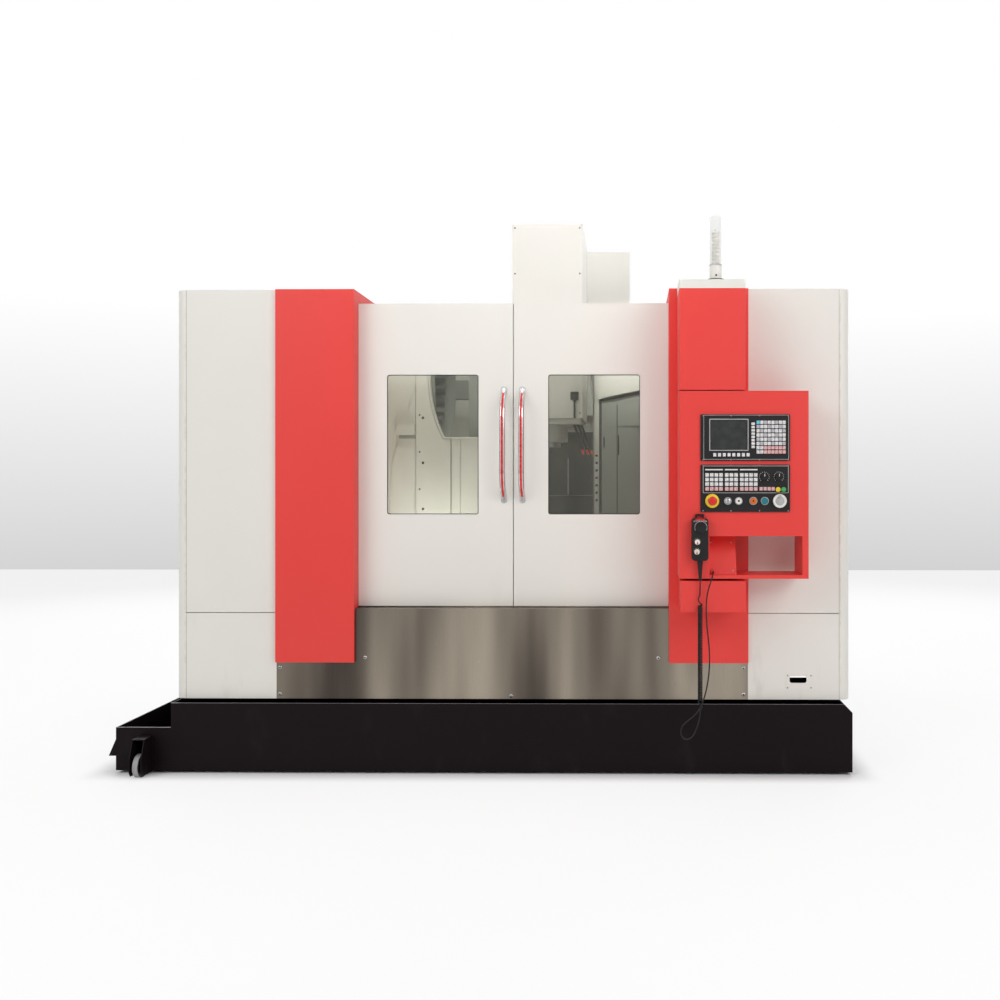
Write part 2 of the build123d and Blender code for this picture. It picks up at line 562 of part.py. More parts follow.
# Head: the casting on the Z rails, its sheet cover, the spindle, and the telescopic Z cover
HEAD_FRONT_Y = 818
HEAD_BOTTOM = 1790
HEAD_TOP = 2300
HEAD_GAP_Y = 60
HEAD_THROAT_Z = 1900
HEAD_COVER_FRONT_Y = 800
HEAD_COVER_BACK_Y = 1420
HEAD_COVER_BOTTOM = 1821
HEAD_COVER_SHEET = 4
MOTOR_RADIUS = 120
MOTOR_HEIGHT = 480
CARTRIDGE_RADIUS = 105
CARTRIDGE_BOTTOM = 1690
SPINDLE_RADIUS = 64
SPINDLE_BORE_DEPTH = 240
TAPER_MOUTH_RADIUS = 22.225
TAPER_DEPTH = 68
TAPER_RISE_SHARE = 7 / 48
DRAWBAR_RADIUS = 9
Z_COVER_LENGTH = 430
Z_COVER_HALF_WIDTH = 225
Z_COVER_BOTTOM = BED_TOP
Z_COVER_STEP = COVER_SHEET + SEAT
Z_COVER_BACK_Y = 1760


def z_cover(index, bottom):
    """One flat leaf of the cover between the head and the bed, the outer ones further forward."""
    back = Z_COVER_BACK_Y - index * Z_COVER_STEP
    half = Z_COVER_HALF_WIDTH + index * COVER_SHEET
    return block(SPINDLE_X - half, SPINDLE_X + half, back - COVER_SHEET, back, bottom, bottom + Z_COVER_LENGTH)


def head():
    half = HEAD_WIDTH / 2
    back = COLUMN_FRONT_Y - HEAD_GAP_Y
    profile = [(HEAD_FRONT_Y, HEAD_BOTTOM), (SPINDLE_Y + 2 * CARTRIDGE_RADIUS, HEAD_BOTTOM),
               (back - HEAD_GAP_Y, HEAD_THROAT_Z), (back, HEAD_THROAT_Z), (back, HEAD_TOP),
               (HEAD_FRONT_Y, HEAD_TOP)]
    casting = side_profile(profile, SPINDLE_X - half, SPINDLE_X + half)
    casting += rod(CARTRIDGE_RADIUS, (SPINDLE_X, SPINDLE_Y, CARTRIDGE_BOTTOM), (SPINDLE_X, SPINDLE_Y, HEAD_BOTTOM))
    casting += rod(MOTOR_RADIUS, (SPINDLE_X, SPINDLE_Y, HEAD_TOP), (SPINDLE_X, SPINDLE_Y, HEAD_TOP + MOTOR_HEIGHT))
    casting -= rod(SPINDLE_RADIUS + RUNNING, (SPINDLE_X, SPINDLE_Y, CARTRIDGE_BOTTOM - OVERRUN),
                   (SPINDLE_X, SPINDLE_Y, NOSE_Z + SPINDLE_BORE_DEPTH))
    for side in (-1, 1):
        x = SPINDLE_X + side * Z_RAIL_OFFSET
        for z in (HEAD_THROAT_Z, HEAD_TOP - CARRIAGE_LENGTH):
            casting += block(x - CARRIAGE_WIDTH / 2, x + CARRIAGE_WIDTH / 2, back - HEAD_GAP_Y / 2,
                             COLUMN_FRONT_Y - RAIL_HEIGHT - SEAT, z, z + CARRIAGE_LENGTH)
    # The topmost leaf of the Z cover hangs from a flange under the head
    leaf_bottom = HEAD_BOTTOM - Z_COVER_LENGTH
    leaf = z_cover(2, leaf_bottom)
    leaf_back = Z_COVER_BACK_Y - 2 * Z_COVER_STEP
    flange = block(SPINDLE_X - half, SPINDLE_X + half, leaf_back - COVER_SHEET, leaf_back, HEAD_BOTTOM,
                   HEAD_THROAT_Z + CARRIAGE_LENGTH)
    parts["head"] = casting + leaf + flange
    parts["z_cover_base"] = z_cover(0, Z_COVER_BOTTOM)
    parts["z_cover_middle"] = z_cover(1, (Z_COVER_BOTTOM + leaf_bottom) / 2)


def head_cover():
    """A folded box over the front of the head and the spindle motor, open below and behind the head."""
    half = HEAD_COVER_WIDTH / 2
    x0, x1 = SPINDLE_X - half, SPINDLE_X + half
    shell = block(x0, x1, HEAD_COVER_FRONT_Y, HEAD_COVER_BACK_Y, HEAD_COVER_BOTTOM, HEAD_COVER_TOP)
    shell -= block(x0 + HEAD_COVER_SHEET, x1 - HEAD_COVER_SHEET, HEAD_COVER_FRONT_Y + HEAD_COVER_SHEET,
                   HEAD_COVER_BACK_Y - HEAD_COVER_SHEET, HEAD_TOP, HEAD_COVER_TOP - HEAD_COVER_SHEET)
    shell -= block(SPINDLE_X - HEAD_WIDTH / 2, SPINDLE_X + HEAD_WIDTH / 2, HEAD_FRONT_Y,
                   HEAD_COVER_BACK_Y + OVERRUN, HEAD_COVER_BOTTOM - OVERRUN, HEAD_TOP)
    parts["head_cover"] = shell


def spindle():
    top = NOSE_Z + SPINDLE_BORE_DEPTH - SEAT
    rotor = rod(SPINDLE_RADIUS, (SPINDLE_X, SPINDLE_Y, NOSE_Z), (SPINDLE_X, SPINDLE_Y, top))
    inner_radius = TAPER_MOUTH_RADIUS - TAPER_DEPTH * TAPER_RISE_SHARE
    taper = Pos(SPINDLE_X, SPINDLE_Y, NOSE_Z) * Cone(TAPER_MOUTH_RADIUS, inner_radius, TAPER_DEPTH,
                                                     align=(Align.CENTER, Align.CENTER, Align.MIN))
    drawbar = rod(DRAWBAR_RADIUS, (SPINDLE_X, SPINDLE_Y, NOSE_Z), (SPINDLE_X, SPINDLE_Y, top + OVERRUN))
    parts["spindle"] = rotor - taper - drawbar


# Tool changer: a drum magazine on its cover's shaft, the cam box, and the swing arm between drum and spindle
ARM_REACH = 370
ARM_X = SPINDLE_X - ARM_REACH
ARM_BOTTOM = 1600
ARM_THICKNESS = 32
ARM_WIDTH = 84
ARM_END = 46
GRIP_RADIUS = 33
ARM_SHAFT_RADIUS = 40
CAM_BOX_BOTTOM = 1700
CAM_BOX_TOP = 2150
CAM_BOX_HALF = 105
CAM_BOX_FRONT_Y = 920
CAM_BOX_BACK_Y = 1440
SHAFT_ENGAGEMENT = 60
DRUM_Z = 2040
DRUM_LEFT_X = -760
DRUM_DEPTH = 240
DRUM_RADIUS = 345
DRUM_SHEET = 5
DISC_RADIUS = 322
DISC_X = -700
DISC_THICKNESS = 14
POT_COUNT = 24
POT_CIRCLE = 284
POT_RADIUS = 30
POT_LENGTH = 110
POT_SIDES = 8
HUB_RADIUS = 70
PIN_RADIUS = 30
DRUM_ARM_HEIGHT = 120
BRACKET_RIGHT_X = -140


def tool_changer():
    drum_y = SPINDLE_Y
    right = DRUM_LEFT_X + DRUM_DEPTH
    shell = rod(DRUM_RADIUS, (DRUM_LEFT_X, drum_y, DRUM_Z), (right, drum_y, DRUM_Z))
    shell -= rod(DRUM_RADIUS - DRUM_SHEET, (DRUM_LEFT_X + DRUM_SHEET, drum_y, DRUM_Z),
                 (right + OVERRUN, drum_y, DRUM_Z))
    pin_end = DISC_X + DISC_THICKNESS + HUB_RADIUS
    shell += rod(PIN_RADIUS, (DRUM_LEFT_X, drum_y, DRUM_Z), (pin_end, drum_y, DRUM_Z))
    box = block(ARM_X - CAM_BOX_HALF, ARM_X + CAM_BOX_HALF, CAM_BOX_FRONT_Y, CAM_BOX_BACK_Y,
                CAM_BOX_BOTTOM, CAM_BOX_TOP)
    box -= rod(ARM_SHAFT_RADIUS + RUNNING, (ARM_X, SPINDLE_Y, CAM_BOX_BOTTOM - OVERRUN),
               (ARM_X, SPINDLE_Y, CAM_BOX_BOTTOM + SHAFT_ENGAGEMENT + SEAT))
    rim = drum_y + DRUM_RADIUS - DRUM_SHEET
    beam = block(DRUM_LEFT_X, ARM_X, rim, CAM_BOX_BACK_Y, DRUM_Z - DRUM_ARM_HEIGHT / 2,
                 DRUM_Z + DRUM_ARM_HEIGHT / 2)
    bracket = block(ARM_X - CAM_BOX_HALF / 2, BRACKET_RIGHT_X, CAM_BOX_BACK_Y, COLUMN_FRONT_Y,
                    DRUM_Z - DRUM_ARM_HEIGHT, DRUM_Z + DRUM_ARM_HEIGHT / 2)
    parts["magazine_housing"] = shell + beam + box + bracket
    pot_plane = Plane(origin=(DISC_X + DISC_THICKNESS, drum_y, DRUM_Z), x_dir=(0, 1, 0), z_dir=(1, 0, 0))
    disc = rod(DISC_RADIUS, (DISC_X, drum_y, DRUM_Z), (DISC_X + DISC_THICKNESS, drum_y, DRUM_Z))
    disc += rod(HUB_RADIUS, (DISC_X, drum_y, DRUM_Z), (DISC_X + HUB_RADIUS, drum_y, DRUM_Z))
    pots = Sketch() + [place * RegularPolygon(POT_RADIUS, POT_SIDES)
                       for place in PolarLocations(POT_CIRCLE, POT_COUNT)]
    disc += extrude(pot_plane * pots, amount=POT_LENGTH)
    disc -= rod(PIN_RADIUS + RUNNING, (DRUM_LEFT_X, drum_y, DRUM_Z), (pin_end + OVERRUN, drum_y, DRUM_Z))
    parts["tool_disc"] = disc
    parts["tool_arm"] = swing_arm()


def swing_arm():
    """The arm parked along y, with an open half-round gripper at each end."""
    top = ARM_BOTTOM + ARM_THICKNESS
    reach = ARM_REACH + ARM_END
    arm = block(ARM_X - ARM_WIDTH / 2, ARM_X + ARM_WIDTH / 2, SPINDLE_Y - reach, SPINDLE_Y + reach, ARM_BOTTOM, top)
    for side in (-1, 1):
        y = SPINDLE_Y + side * ARM_REACH
        arm -= rod(GRIP_RADIUS, (ARM_X, y, ARM_BOTTOM - OVERRUN), (ARM_X, y, top + OVERRUN))
        mouth = ARM_X + side * (ARM_WIDTH / 2 + OVERRUN)
        arm -= block(min(ARM_X, mouth), max(ARM_X, mouth), y - GRIP_RADIUS, y + GRIP_RADIUS,
                     ARM_BOTTOM - OVERRUN, top + OVERRUN)
    shaft_top = CAM_BOX_BOTTOM + SHAFT_ENGAGEMENT
    return arm + rod(ARM_SHAFT_RADIUS, (ARM_X, SPINDLE_Y, top), (ARM_X, SPINDLE_Y, shaft_top))


# Cable tower on the column, and the electrical cabinet on the back with its hinged door
CABLE_TOWER_LEFT_X = 235
CABLE_TOWER_RIGHT_X = 588
CABLE_TOWER_DEPTH = 290
CABLE_TOWER_HEIGHT = 565
CABLE_TOWER_TOP = COLUMN_TOP + CABLE_TOWER_HEIGHT
CABINET_LEFT_X = 700
CABINET_RIGHT_X = 1600
CABINET_DEPTH = 400
CABINET_BOTTOM = 500
CABINET_TOP = 2300
CABINET_SHEET = 4
MOUNTING_PLATE_INSET = 40
MOUNTING_PLATE_Y = 20
DRIVE_COUNT = 4
DRIVE_WIDTH = 110
DRIVE_HEIGHT = 420
DRIVE_DEPTH = 190
DRIVE_BOTTOM = 1500
CABINET_DOOR_THICKNESS = 24
CABINET_DOOR_EDGE = 2
CABINET_HANDLE_WIDTH = 26
CABINET_HANDLE_HEIGHT = 150
CABINET_HANDLE_PROUD = 18
CABINET_HANDLE_INSET = 60
LOUVRE_COUNT = 9
LOUVRE_PITCH = 26
LOUVRE_WIDTH = 420
LOUVRE_HEIGHT = 15
LOUVRE_PROUD = 9
LOUVRE_STARTS = (640, 1920)
HINGE_COUNT = 3
HINGE_INSET = 180
HINGE_RADIUS = 10
HINGE_PIN_RADIUS = 4
HINGE_KNUCKLE = 40
HINGE_ARM = 9


def cable_tower():
    tower = block(CABLE_TOWER_LEFT_X, CABLE_TOWER_RIGHT_X, COLUMN_FRONT_Y, COLUMN_FRONT_Y + CABLE_TOWER_DEPTH,
                  COLUMN_TOP, CABLE_TOWER_TOP)
    parts["cable_tower"] = tower - block(CABLE_TOWER_LEFT_X + SHEET, CABLE_TOWER_RIGHT_X - SHEET,
                                         COLUMN_FRONT_Y + SHEET, COLUMN_FRONT_Y + CABLE_TOWER_DEPTH - SHEET,
                                         COLUMN_TOP - OVERRUN, CABLE_TOWER_TOP - SHEET)


def cabinet():
    y0, y1 = ENCLOSURE_DEPTH, ENCLOSURE_DEPTH + CABINET_DEPTH
    x0, x1 = CABINET_LEFT_X, CABINET_RIGHT_X
    body = block(x0, x1, y0, y1, CABINET_BOTTOM, CABINET_TOP)
    body -= block(x0 + CABINET_SHEET, x1 - CABINET_SHEET, y0 + CABINET_SHEET, y1 + OVERRUN,
                  CABINET_BOTTOM + CABINET_SHEET, CABINET_TOP - CABINET_SHEET)
    inset = MOUNTING_PLATE_INSET
    plate_y = y0 + MOUNTING_PLATE_Y
    body += block(x0 + inset, x1 - inset, y0 + CABINET_SHEET, plate_y, CABINET_BOTTOM + inset, CABINET_TOP - inset)
    pitch = (x1 - x0 - 2 * inset) / DRIVE_COUNT
    for index in range(DRIVE_COUNT):
        x = x0 + inset + (index + 0.5) * pitch
        body += block(x - DRIVE_WIDTH / 2, x + DRIVE_WIDTH / 2, plate_y, plate_y + DRIVE_DEPTH,
                      DRIVE_BOTTOM, DRIVE_BOTTOM + DRIVE_HEIGHT)
    edge = CABINET_DOOR_EDGE
    door = tray_back(x0 + edge, x1 - edge, y1 + SEAT, y1 + SEAT + CABINET_DOOR_THICKNESS,
                     CABINET_BOTTOM + edge, CABINET_TOP - edge)
    handle_x = x0 + CABINET_HANDLE_INSET
    middle = (CABINET_BOTTOM + CABINET_TOP) / 2
    face = y1 + SEAT + CABINET_DOOR_THICKNESS
    door += block(handle_x - CABINET_HANDLE_WIDTH / 2, handle_x + CABINET_HANDLE_WIDTH / 2, face,
                  face + CABINET_HANDLE_PROUD, middle - CABINET_HANDLE_HEIGHT / 2, middle + CABINET_HANDLE_HEIGHT / 2)
    louvre_x = (x0 + x1 - LOUVRE_WIDTH) / 2
    for start in LOUVRE_STARTS:
        for index in range(LOUVRE_COUNT):
            z = start + index * LOUVRE_PITCH
            lip = [(face - CABINET_SHEET / 2, z), (face + LOUVRE_PROUD, z),
                   (face + LOUVRE_PROUD, z + CABINET_SHEET), (face - CABINET_SHEET / 2, z + LOUVRE_HEIGHT)]
            door += side_profile(lip, louvre_x, louvre_x + LOUVRE_WIDTH)
    hinge_x = x1 + HINGE_RADIUS + SEAT
    pitch = (CABINET_TOP - CABINET_BOTTOM - 2 * HINGE_INSET) / (HINGE_COUNT - 1)
    for index in range(HINGE_COUNT):
        z = CABINET_BOTTOM + HINGE_INSET + index * pitch
        low, high = z - HINGE_KNUCKLE / 2, z + HINGE_KNUCKLE / 2
        for z0, z1 in ((low - HINGE_KNUCKLE, low - SEAT), (high + SEAT, high + HINGE_KNUCKLE)):
            body += knuckle(hinge_x, y1, z0, z1, x1 - CABINET_SHEET / 2, y1 - HINGE_ARM, y1)
        body += rod(HINGE_PIN_RADIUS, (hinge_x, y1, low - SEAT), (hinge_x, y1, high + SEAT))
        leaf = knuckle(hinge_x, y1, low, high, x1 - edge - CABINET_SHEET / 2, y1 + SEAT, y1 + HINGE_ARM)
        door += leaf - rod(HINGE_PIN_RADIUS + RUNNING, (hinge_x, y1, low - OVERRUN), (hinge_x, y1, high + OVERRUN))
    parts["cabinet"] = body
    parts["cabinet_door"] = door


def knuckle(x, y, z0, z1, edge_x, arm_y0, arm_y1):
    """One barrel of a hinge, with the arm that ties it to its sheet."""
    return rod(HINGE_RADIUS, (x, y, z0), (x, y, z1)) + block(edge_x, x, arm_y0, arm_y1, z0, z1)


def tray_back(x0, x1, y0, y1, z0, z1):
    """A folded tray whose face looks to the back."""
    inner = block(x0 + CABINET_SHEET, x1 - CABINET_SHEET, y0 - OVERRUN, y1 - CABINET_SHEET,
                  z0 + CABINET_SHEET, z1 - CABINET_SHEET)
    return block(x0, x1, y0, y1, z0, z1) - inner


# Coolant tank: an open trough under the front, with a lower step on the left and its caster
TANK_LEFT_REACH = 4
TANK_RIGHT_REACH = 2
TANK_LEFT_X = -HALF_WIDTH - TANK_LEFT_REACH
TANK_RIGHT_X = HALF_WIDTH + TANK_RIGHT_REACH
TANK_CORNER = 40
LUG_WIDTH = 36
LUG_TOP = 170
LUG_BOTTOM = 86
LUG_THICKNESS = 8
CASTER_X = -1814
CASTER_FORK_WIDTH = 64
CASTER_FORK_PLATE = 6
CASTER_FORK_DEPTH = 90
CASTER_FORK_TOP = 190
CASTER_FORK_BOTTOM = 30
CASTER_WHEEL_RADIUS = 57
CASTER_WHEEL_WIDTH = 25
CASTER_AXLE_RADIUS = 8
CASTER_Y = TANK_FRONT_Y - CASTER_WHEEL_RADIUS - OVERRUN
TANK_PAD_RADIUS = 40
TANK_PAD_INSET = 80


def coolant_tank():
    y0, y1 = TANK_FRONT_Y, TANK_FRONT_Y + TANK_DEPTH
    left, right, wall = TANK_LEFT_X, TANK_RIGHT_X, TANK_WALL
    shoulder = right - TANK_CORNER
    outer = [(left, TANK_BOTTOM), (right, TANK_BOTTOM), (right, TANK_TOP - TANK_CORNER), (shoulder, TANK_TOP),
             (left, TANK_TOP)]
    inner = [(left + wall, TANK_BOTTOM + wall), (right - wall, TANK_BOTTOM + wall),
             (right - wall, TANK_TOP - TANK_CORNER - wall), (shoulder - wall, TANK_TOP),
             (shoulder - wall, TANK_TOP + OVERRUN), (left + wall, TANK_TOP + OVERRUN)]
    tank = front_profile(outer, y0, y1) - front_profile(inner, y0 + wall, y1 - wall)
    step = left - STEP_WIDTH
    tank += block(step, left, y0, y1, TANK_BOTTOM, STEP_TOP)
    tank -= block(step + wall, left, y0 + wall, y1 - wall, TANK_BOTTOM + wall, STEP_TOP + OVERRUN)
    tank += front_profile([(step, LUG_TOP), (step, LUG_BOTTOM), (step - LUG_WIDTH, LUG_BOTTOM)],
                          y0, y0 + LUG_THICKNESS)
    for x in (left + TANK_PAD_INSET, right - TANK_PAD_INSET):
        for y in (y0 + TANK_PAD_INSET, y1 - TANK_PAD_INSET):
            tank += rod(TANK_PAD_RADIUS, (x, y, 0), (x, y, TANK_BOTTOM))
    half = CASTER_FORK_WIDTH / 2
    for side in (-1, 1):
        x = CASTER_X + side * (half - CASTER_FORK_PLATE / 2)
        tank += block(x - CASTER_FORK_PLATE / 2, x + CASTER_FORK_PLATE / 2, y0 - CASTER_FORK_DEPTH, y0,
                      CASTER_FORK_BOTTOM, CASTER_FORK_TOP)
    tank += block(CASTER_X - half, CASTER_X + half, y0 - CASTER_FORK_DEPTH, y0,
                  CASTER_FORK_TOP - CASTER_FORK_PLATE, CASTER_FORK_TOP)
    axle_z = CASTER_WHEEL_RADIUS + SEAT
    tank += rod(CASTER_AXLE_RADIUS, (CASTER_X - half, CASTER_Y, axle_z), (CASTER_X + half, CASTER_Y, axle_z))
    parts["coolant_tank"] = tank
    wheel_half = CASTER_WHEEL_WIDTH / 2
    wheel = rod(CASTER_WHEEL_RADIUS, (CASTER_X - wheel_half, CASTER_Y, axle_z),
                (CASTER_X + wheel_half, CASTER_Y, axle_z))
    parts["caster_wheel"] = wheel - rod(CASTER_AXLE_RADIUS + RUNNING, (CASTER_X - half, CASTER_Y, axle_z),
                                        (CASTER_X + half, CASTER_Y, axle_z))


# Operator's station: the tower with the lamp, the control box with its open shelf, and the junction box
STATION_BACK_Y = PILLAR_FRONT_Y
STATION_EDGE = 6
LID_TOP = 2411
SHELF_LEFT_X = 969
SHELF_RIGHT_X = 1409
SHELF_BOTTOM = 1008
SHELF_TOP = 1193
GLAND_PLATE_WIDTH = 132
GLAND_PLATE_FRONT_Y = -214
GLAND_PLATE_LEAN = 80
GLAND_X = 987
GLAND_Z = 1024
GLAND_RADIUS = 9
GLAND_FRONT_Y = -232
JUNCTION_LEFT_X = 831
JUNCTION_WIDTH = 311
LAMP_X = 1003
LAMP_Y = -190
LAMP_FLANGE_RADIUS = 41
LAMP_FLANGE_HEIGHT = 6
LAMP_RADIUS = 29.5
LAMP_BASE_TOP = 2490
LAMP_STACK_RADIUS = 12
LAMP_STACK_TOP = 2660
LAMP_TOP = 2720
LAMP_WALL = 2.5


def soft_box(x0, x1, y0, y1, z0, z1):
    """A folded box with slightly rounded upright edges."""
    shape = block(x0, x1, y0, y1, z0, z1)
    return fillet(shape.edges().filter_by(Axis.Z), STATION_EDGE)


def station():
    x0, y0, y1 = STATION_LEFT_X, STATION_FRONT_Y, STATION_BACK_Y
    parts["station_tower"] = soft_box(x0, x0 + TOWER_WIDTH, y0, y1, TOWER_BOTTOM, TOWER_TOP)
    box = soft_box(x0, x0 + BOX_WIDTH, y0, y1, BOX_BOTTOM, BOX_TOP)
    box -= block(SHELF_LEFT_X, SHELF_RIGHT_X, y0 - OVERRUN, y1 + OVERRUN, SHELF_BOTTOM, SHELF_TOP)
    plate_top = GLAND_PLATE_FRONT_Y + GLAND_PLATE_LEAN
    leaning = [(GLAND_PLATE_FRONT_Y, SHELF_BOTTOM), (GLAND_PLATE_FRONT_Y + SHEET, SHELF_BOTTOM),
               (plate_top + SHEET, SHELF_TOP), (plate_top, SHELF_TOP)]
    box += side_profile(leaning, SHELF_LEFT_X, SHELF_LEFT_X + GLAND_PLATE_WIDTH)
    gland_back = GLAND_PLATE_FRONT_Y + GLAND_RADIUS + SHEET
    box += rod(GLAND_RADIUS, (GLAND_X, GLAND_FRONT_Y, GLAND_Z), (GLAND_X, gland_back, GLAND_Z))
    parts["control_box"] = box
    parts["junction_box"] = soft_box(JUNCTION_LEFT_X, JUNCTION_LEFT_X + JUNCTION_WIDTH, y0, y1,
                                     JUNCTION_BOTTOM, JUNCTION_TOP)
    lid = soft_box(x0, x0 + TOWER_WIDTH, y0, y1, TOWER_TOP, LID_TOP)
    lid += rod(LAMP_FLANGE_RADIUS, (LAMP_X, LAMP_Y, LID_TOP), (LAMP_X, LAMP_Y, LID_TOP + LAMP_FLANGE_HEIGHT))
    lid += rod(LAMP_RADIUS, (LAMP_X, LAMP_Y, LID_TOP), (LAMP_X, LAMP_Y, LAMP_BASE_TOP))
    lid += rod(LAMP_STACK_RADIUS, (LAMP_X, LAMP_Y, LAMP_BASE_TOP), (LAMP_X, LAMP_Y, LAMP_STACK_TOP))
    parts["lamp_base"] = lid
    lens = rod(LAMP_RADIUS, (LAMP_X, LAMP_Y, LAMP_BASE_TOP), (LAMP_X, LAMP_Y, LAMP_TOP))
    parts["lamp_lens"] = lens - rod(LAMP_RADIUS - LAMP_WALL, (LAMP_X, LAMP_Y, LAMP_BASE_TOP - OVERRUN),
                                    (LAMP_X, LAMP_Y, LAMP_TOP - LAMP_WALL))


# Display and operator units: thin black fronts with raised keys, and the holes that carry knobs and buttons
UNIT_LEFT_X = 926
UNIT_RIGHT_X = 1348.5
UNIT_PROUD = 8
UNIT_CORNER = 6
DISPLAY_BOTTOM = 1550
DISPLAY_TOP = 1770
OPERATOR_BOTTOM = 1308
OPERATOR_TOP = 1532
SCREEN_LEFT_X = 973
SCREEN_RIGHT_X = 1147
SCREEN_BOTTOM = 1603
SCREEN_TOP = 1743
SCREEN_RECESS = 3
KEY_PROUD = 2
KEY_HEIGHT = 13
SOFT_KEY_X = 977
SOFT_KEY_Z = 1578.5
SOFT_KEY_PITCH = 22.5
SOFT_KEY_WIDTH = 14
SOFT_KEY_COUNT = 8
SIDE_KEY_X = 1174.5
SIDE_KEY_Z = 1616
SIDE_KEY_PITCH = 15.6
SIDE_KEY_HEIGHT = 10
PAD_X = 1198
PAD_Z = 1592
PAD_PITCH_X = 17.5
PAD_PITCH_Z = 20
PAD_COLUMNS = 8
PAD_ROWS = 8
OPERATOR_KEY_Z = 1502
OPERATOR_KEY_PITCH = 21.8
OPERATOR_KEY_SIZE = 16
OPERATOR_KEY_ROWS = 4
OPERATOR_BLOCK_X = (957, 1050, 1121)
OPERATOR_BLOCK_COUNTS = (4, 3, 4)
UNIT_FACE_Y = STATION_FRONT_Y - UNIT_PROUD
CONTROL_ROW_Z = 1360
BEZEL = 4
BEZEL_PROUD = 3
ESTOP_X = 981
ESTOP_RING_RADIUS = 33.5
ESTOP_RADIUS = 20.7
ESTOP_STEM_RADIUS = 10
ESTOP_HEAD = 14
ESTOP_TRAVEL = 5
ESTOP_GAP = 7
BUTTONS = (("white_button", 1106, 14), ("orange_button", 1175, 15), ("teal_button", 1229, 15))
BUTTON_ENTRY = 2
BUTTON_TRAVEL = 3
BUTTON_STAND = 7
KEY_SWITCH_X = 1054
KEY_SWITCH_RADIUS = 18
KEY_SWITCH_PROUD = 9
KEY_WING_HEIGHT = 26
KEY_WING_WIDTH = 9
KEY_WING_PROUD = 14
KNOB_Z = 1474
KNOBS = (("feed_knob", 1227), ("spindle_knob", 1296))
KNOB_RADIUS = 16
KNOB_PROUD = 18
SHAFT_RADIUS = 4
SHAFT_ENTRY = 7
HANDWHEEL_X = 1299
HANDWHEEL_RADIUS = 32
HANDWHEEL_THICKNESS = 14
CRANK_RADIUS = 6
CRANK_LENGTH = 16
CRANK_SHARE = 0.68
GREEN_BUTTON_X = 1318
YELLOW_BUTTON_X = 1292
LAMP_BUTTON_Z = 1414
LAMP_BUTTON_RADIUS = 11.6


def key(x, z, width, height):
    """One raised membrane key, centred on x and z."""
    return block(x - width / 2, x + width / 2, UNIT_FACE_Y - KEY_PROUD, UNIT_FACE_Y, z - height / 2, z + height / 2)


def across(radius, x, z, y0, y1):
    """A round piece that points at the operator."""
    return rod(radius, (x, y0, z), (x, y1, z))


def control_units():
    display = rounded_block(UNIT_LEFT_X, UNIT_RIGHT_X, UNIT_FACE_Y, STATION_FRONT_Y, DISPLAY_BOTTOM, DISPLAY_TOP,
                            UNIT_CORNER)
    display -= block(SCREEN_LEFT_X, SCREEN_RIGHT_X, UNIT_FACE_Y - OVERRUN, UNIT_FACE_Y + SCREEN_RECESS,
                     SCREEN_BOTTOM, SCREEN_TOP)
    keys = [key(SOFT_KEY_X + SOFT_KEY_WIDTH / 2 + index * SOFT_KEY_PITCH, SOFT_KEY_Z, SOFT_KEY_WIDTH, KEY_HEIGHT)
            for index in range(SOFT_KEY_COUNT)]
    keys += [key(SIDE_KEY_X, SIDE_KEY_Z + index * SIDE_KEY_PITCH, SOFT_KEY_WIDTH, SIDE_KEY_HEIGHT)
             for index in range(SOFT_KEY_COUNT)]
    keys += [key(PAD_X + column * PAD_PITCH_X, PAD_Z + row * PAD_PITCH_Z, SOFT_KEY_WIDTH, KEY_HEIGHT)
             for column in range(PAD_COLUMNS) for row in range(PAD_ROWS)]
    parts["display_unit"] = display + keys
    unit = rounded_block(UNIT_LEFT_X, UNIT_RIGHT_X, UNIT_FACE_Y, STATION_FRONT_Y, OPERATOR_BOTTOM, OPERATOR_TOP,
                         UNIT_CORNER)
    keys = [key(start + column * OPERATOR_KEY_PITCH, OPERATOR_KEY_Z - row * OPERATOR_KEY_PITCH, OPERATOR_KEY_SIZE,
                OPERATOR_KEY_SIZE)
            for start, count in zip(OPERATOR_BLOCK_X, OPERATOR_BLOCK_COUNTS)
            for column in range(count) for row in range(OPERATOR_KEY_ROWS)]
    ring_face = UNIT_FACE_Y - BEZEL_PROUD
    keys.append(across(ESTOP_RING_RADIUS, ESTOP_X, CONTROL_ROW_Z, ring_face, UNIT_FACE_Y))
    for x in (YELLOW_BUTTON_X, GREEN_BUTTON_X):
        keys.append(across(LAMP_BUTTON_RADIUS, x, LAMP_BUTTON_Z, ring_face, UNIT_FACE_Y))
    for name, x, radius in BUTTONS:
        keys.append(across(radius + BEZEL, x, CONTROL_ROW_Z, ring_face, UNIT_FACE_Y))
    unit += keys
    holes = [(ESTOP_STEM_RADIUS, ESTOP_X, CONTROL_ROW_Z), (SHAFT_RADIUS, KEY_SWITCH_X, CONTROL_ROW_Z),
             (SHAFT_RADIUS, HANDWHEEL_X, CONTROL_ROW_Z)]
    holes += [(radius, x, CONTROL_ROW_Z) for name, x, radius in BUTTONS]
    holes += [(SHAFT_RADIUS, x, KNOB_Z) for name, x in KNOBS]
    for radius, x, z in holes:
        unit -= across(radius + RUNNING, x, z, ring_face - OVERRUN, STATION_FRONT_Y)
    parts["operator_unit"] = unit


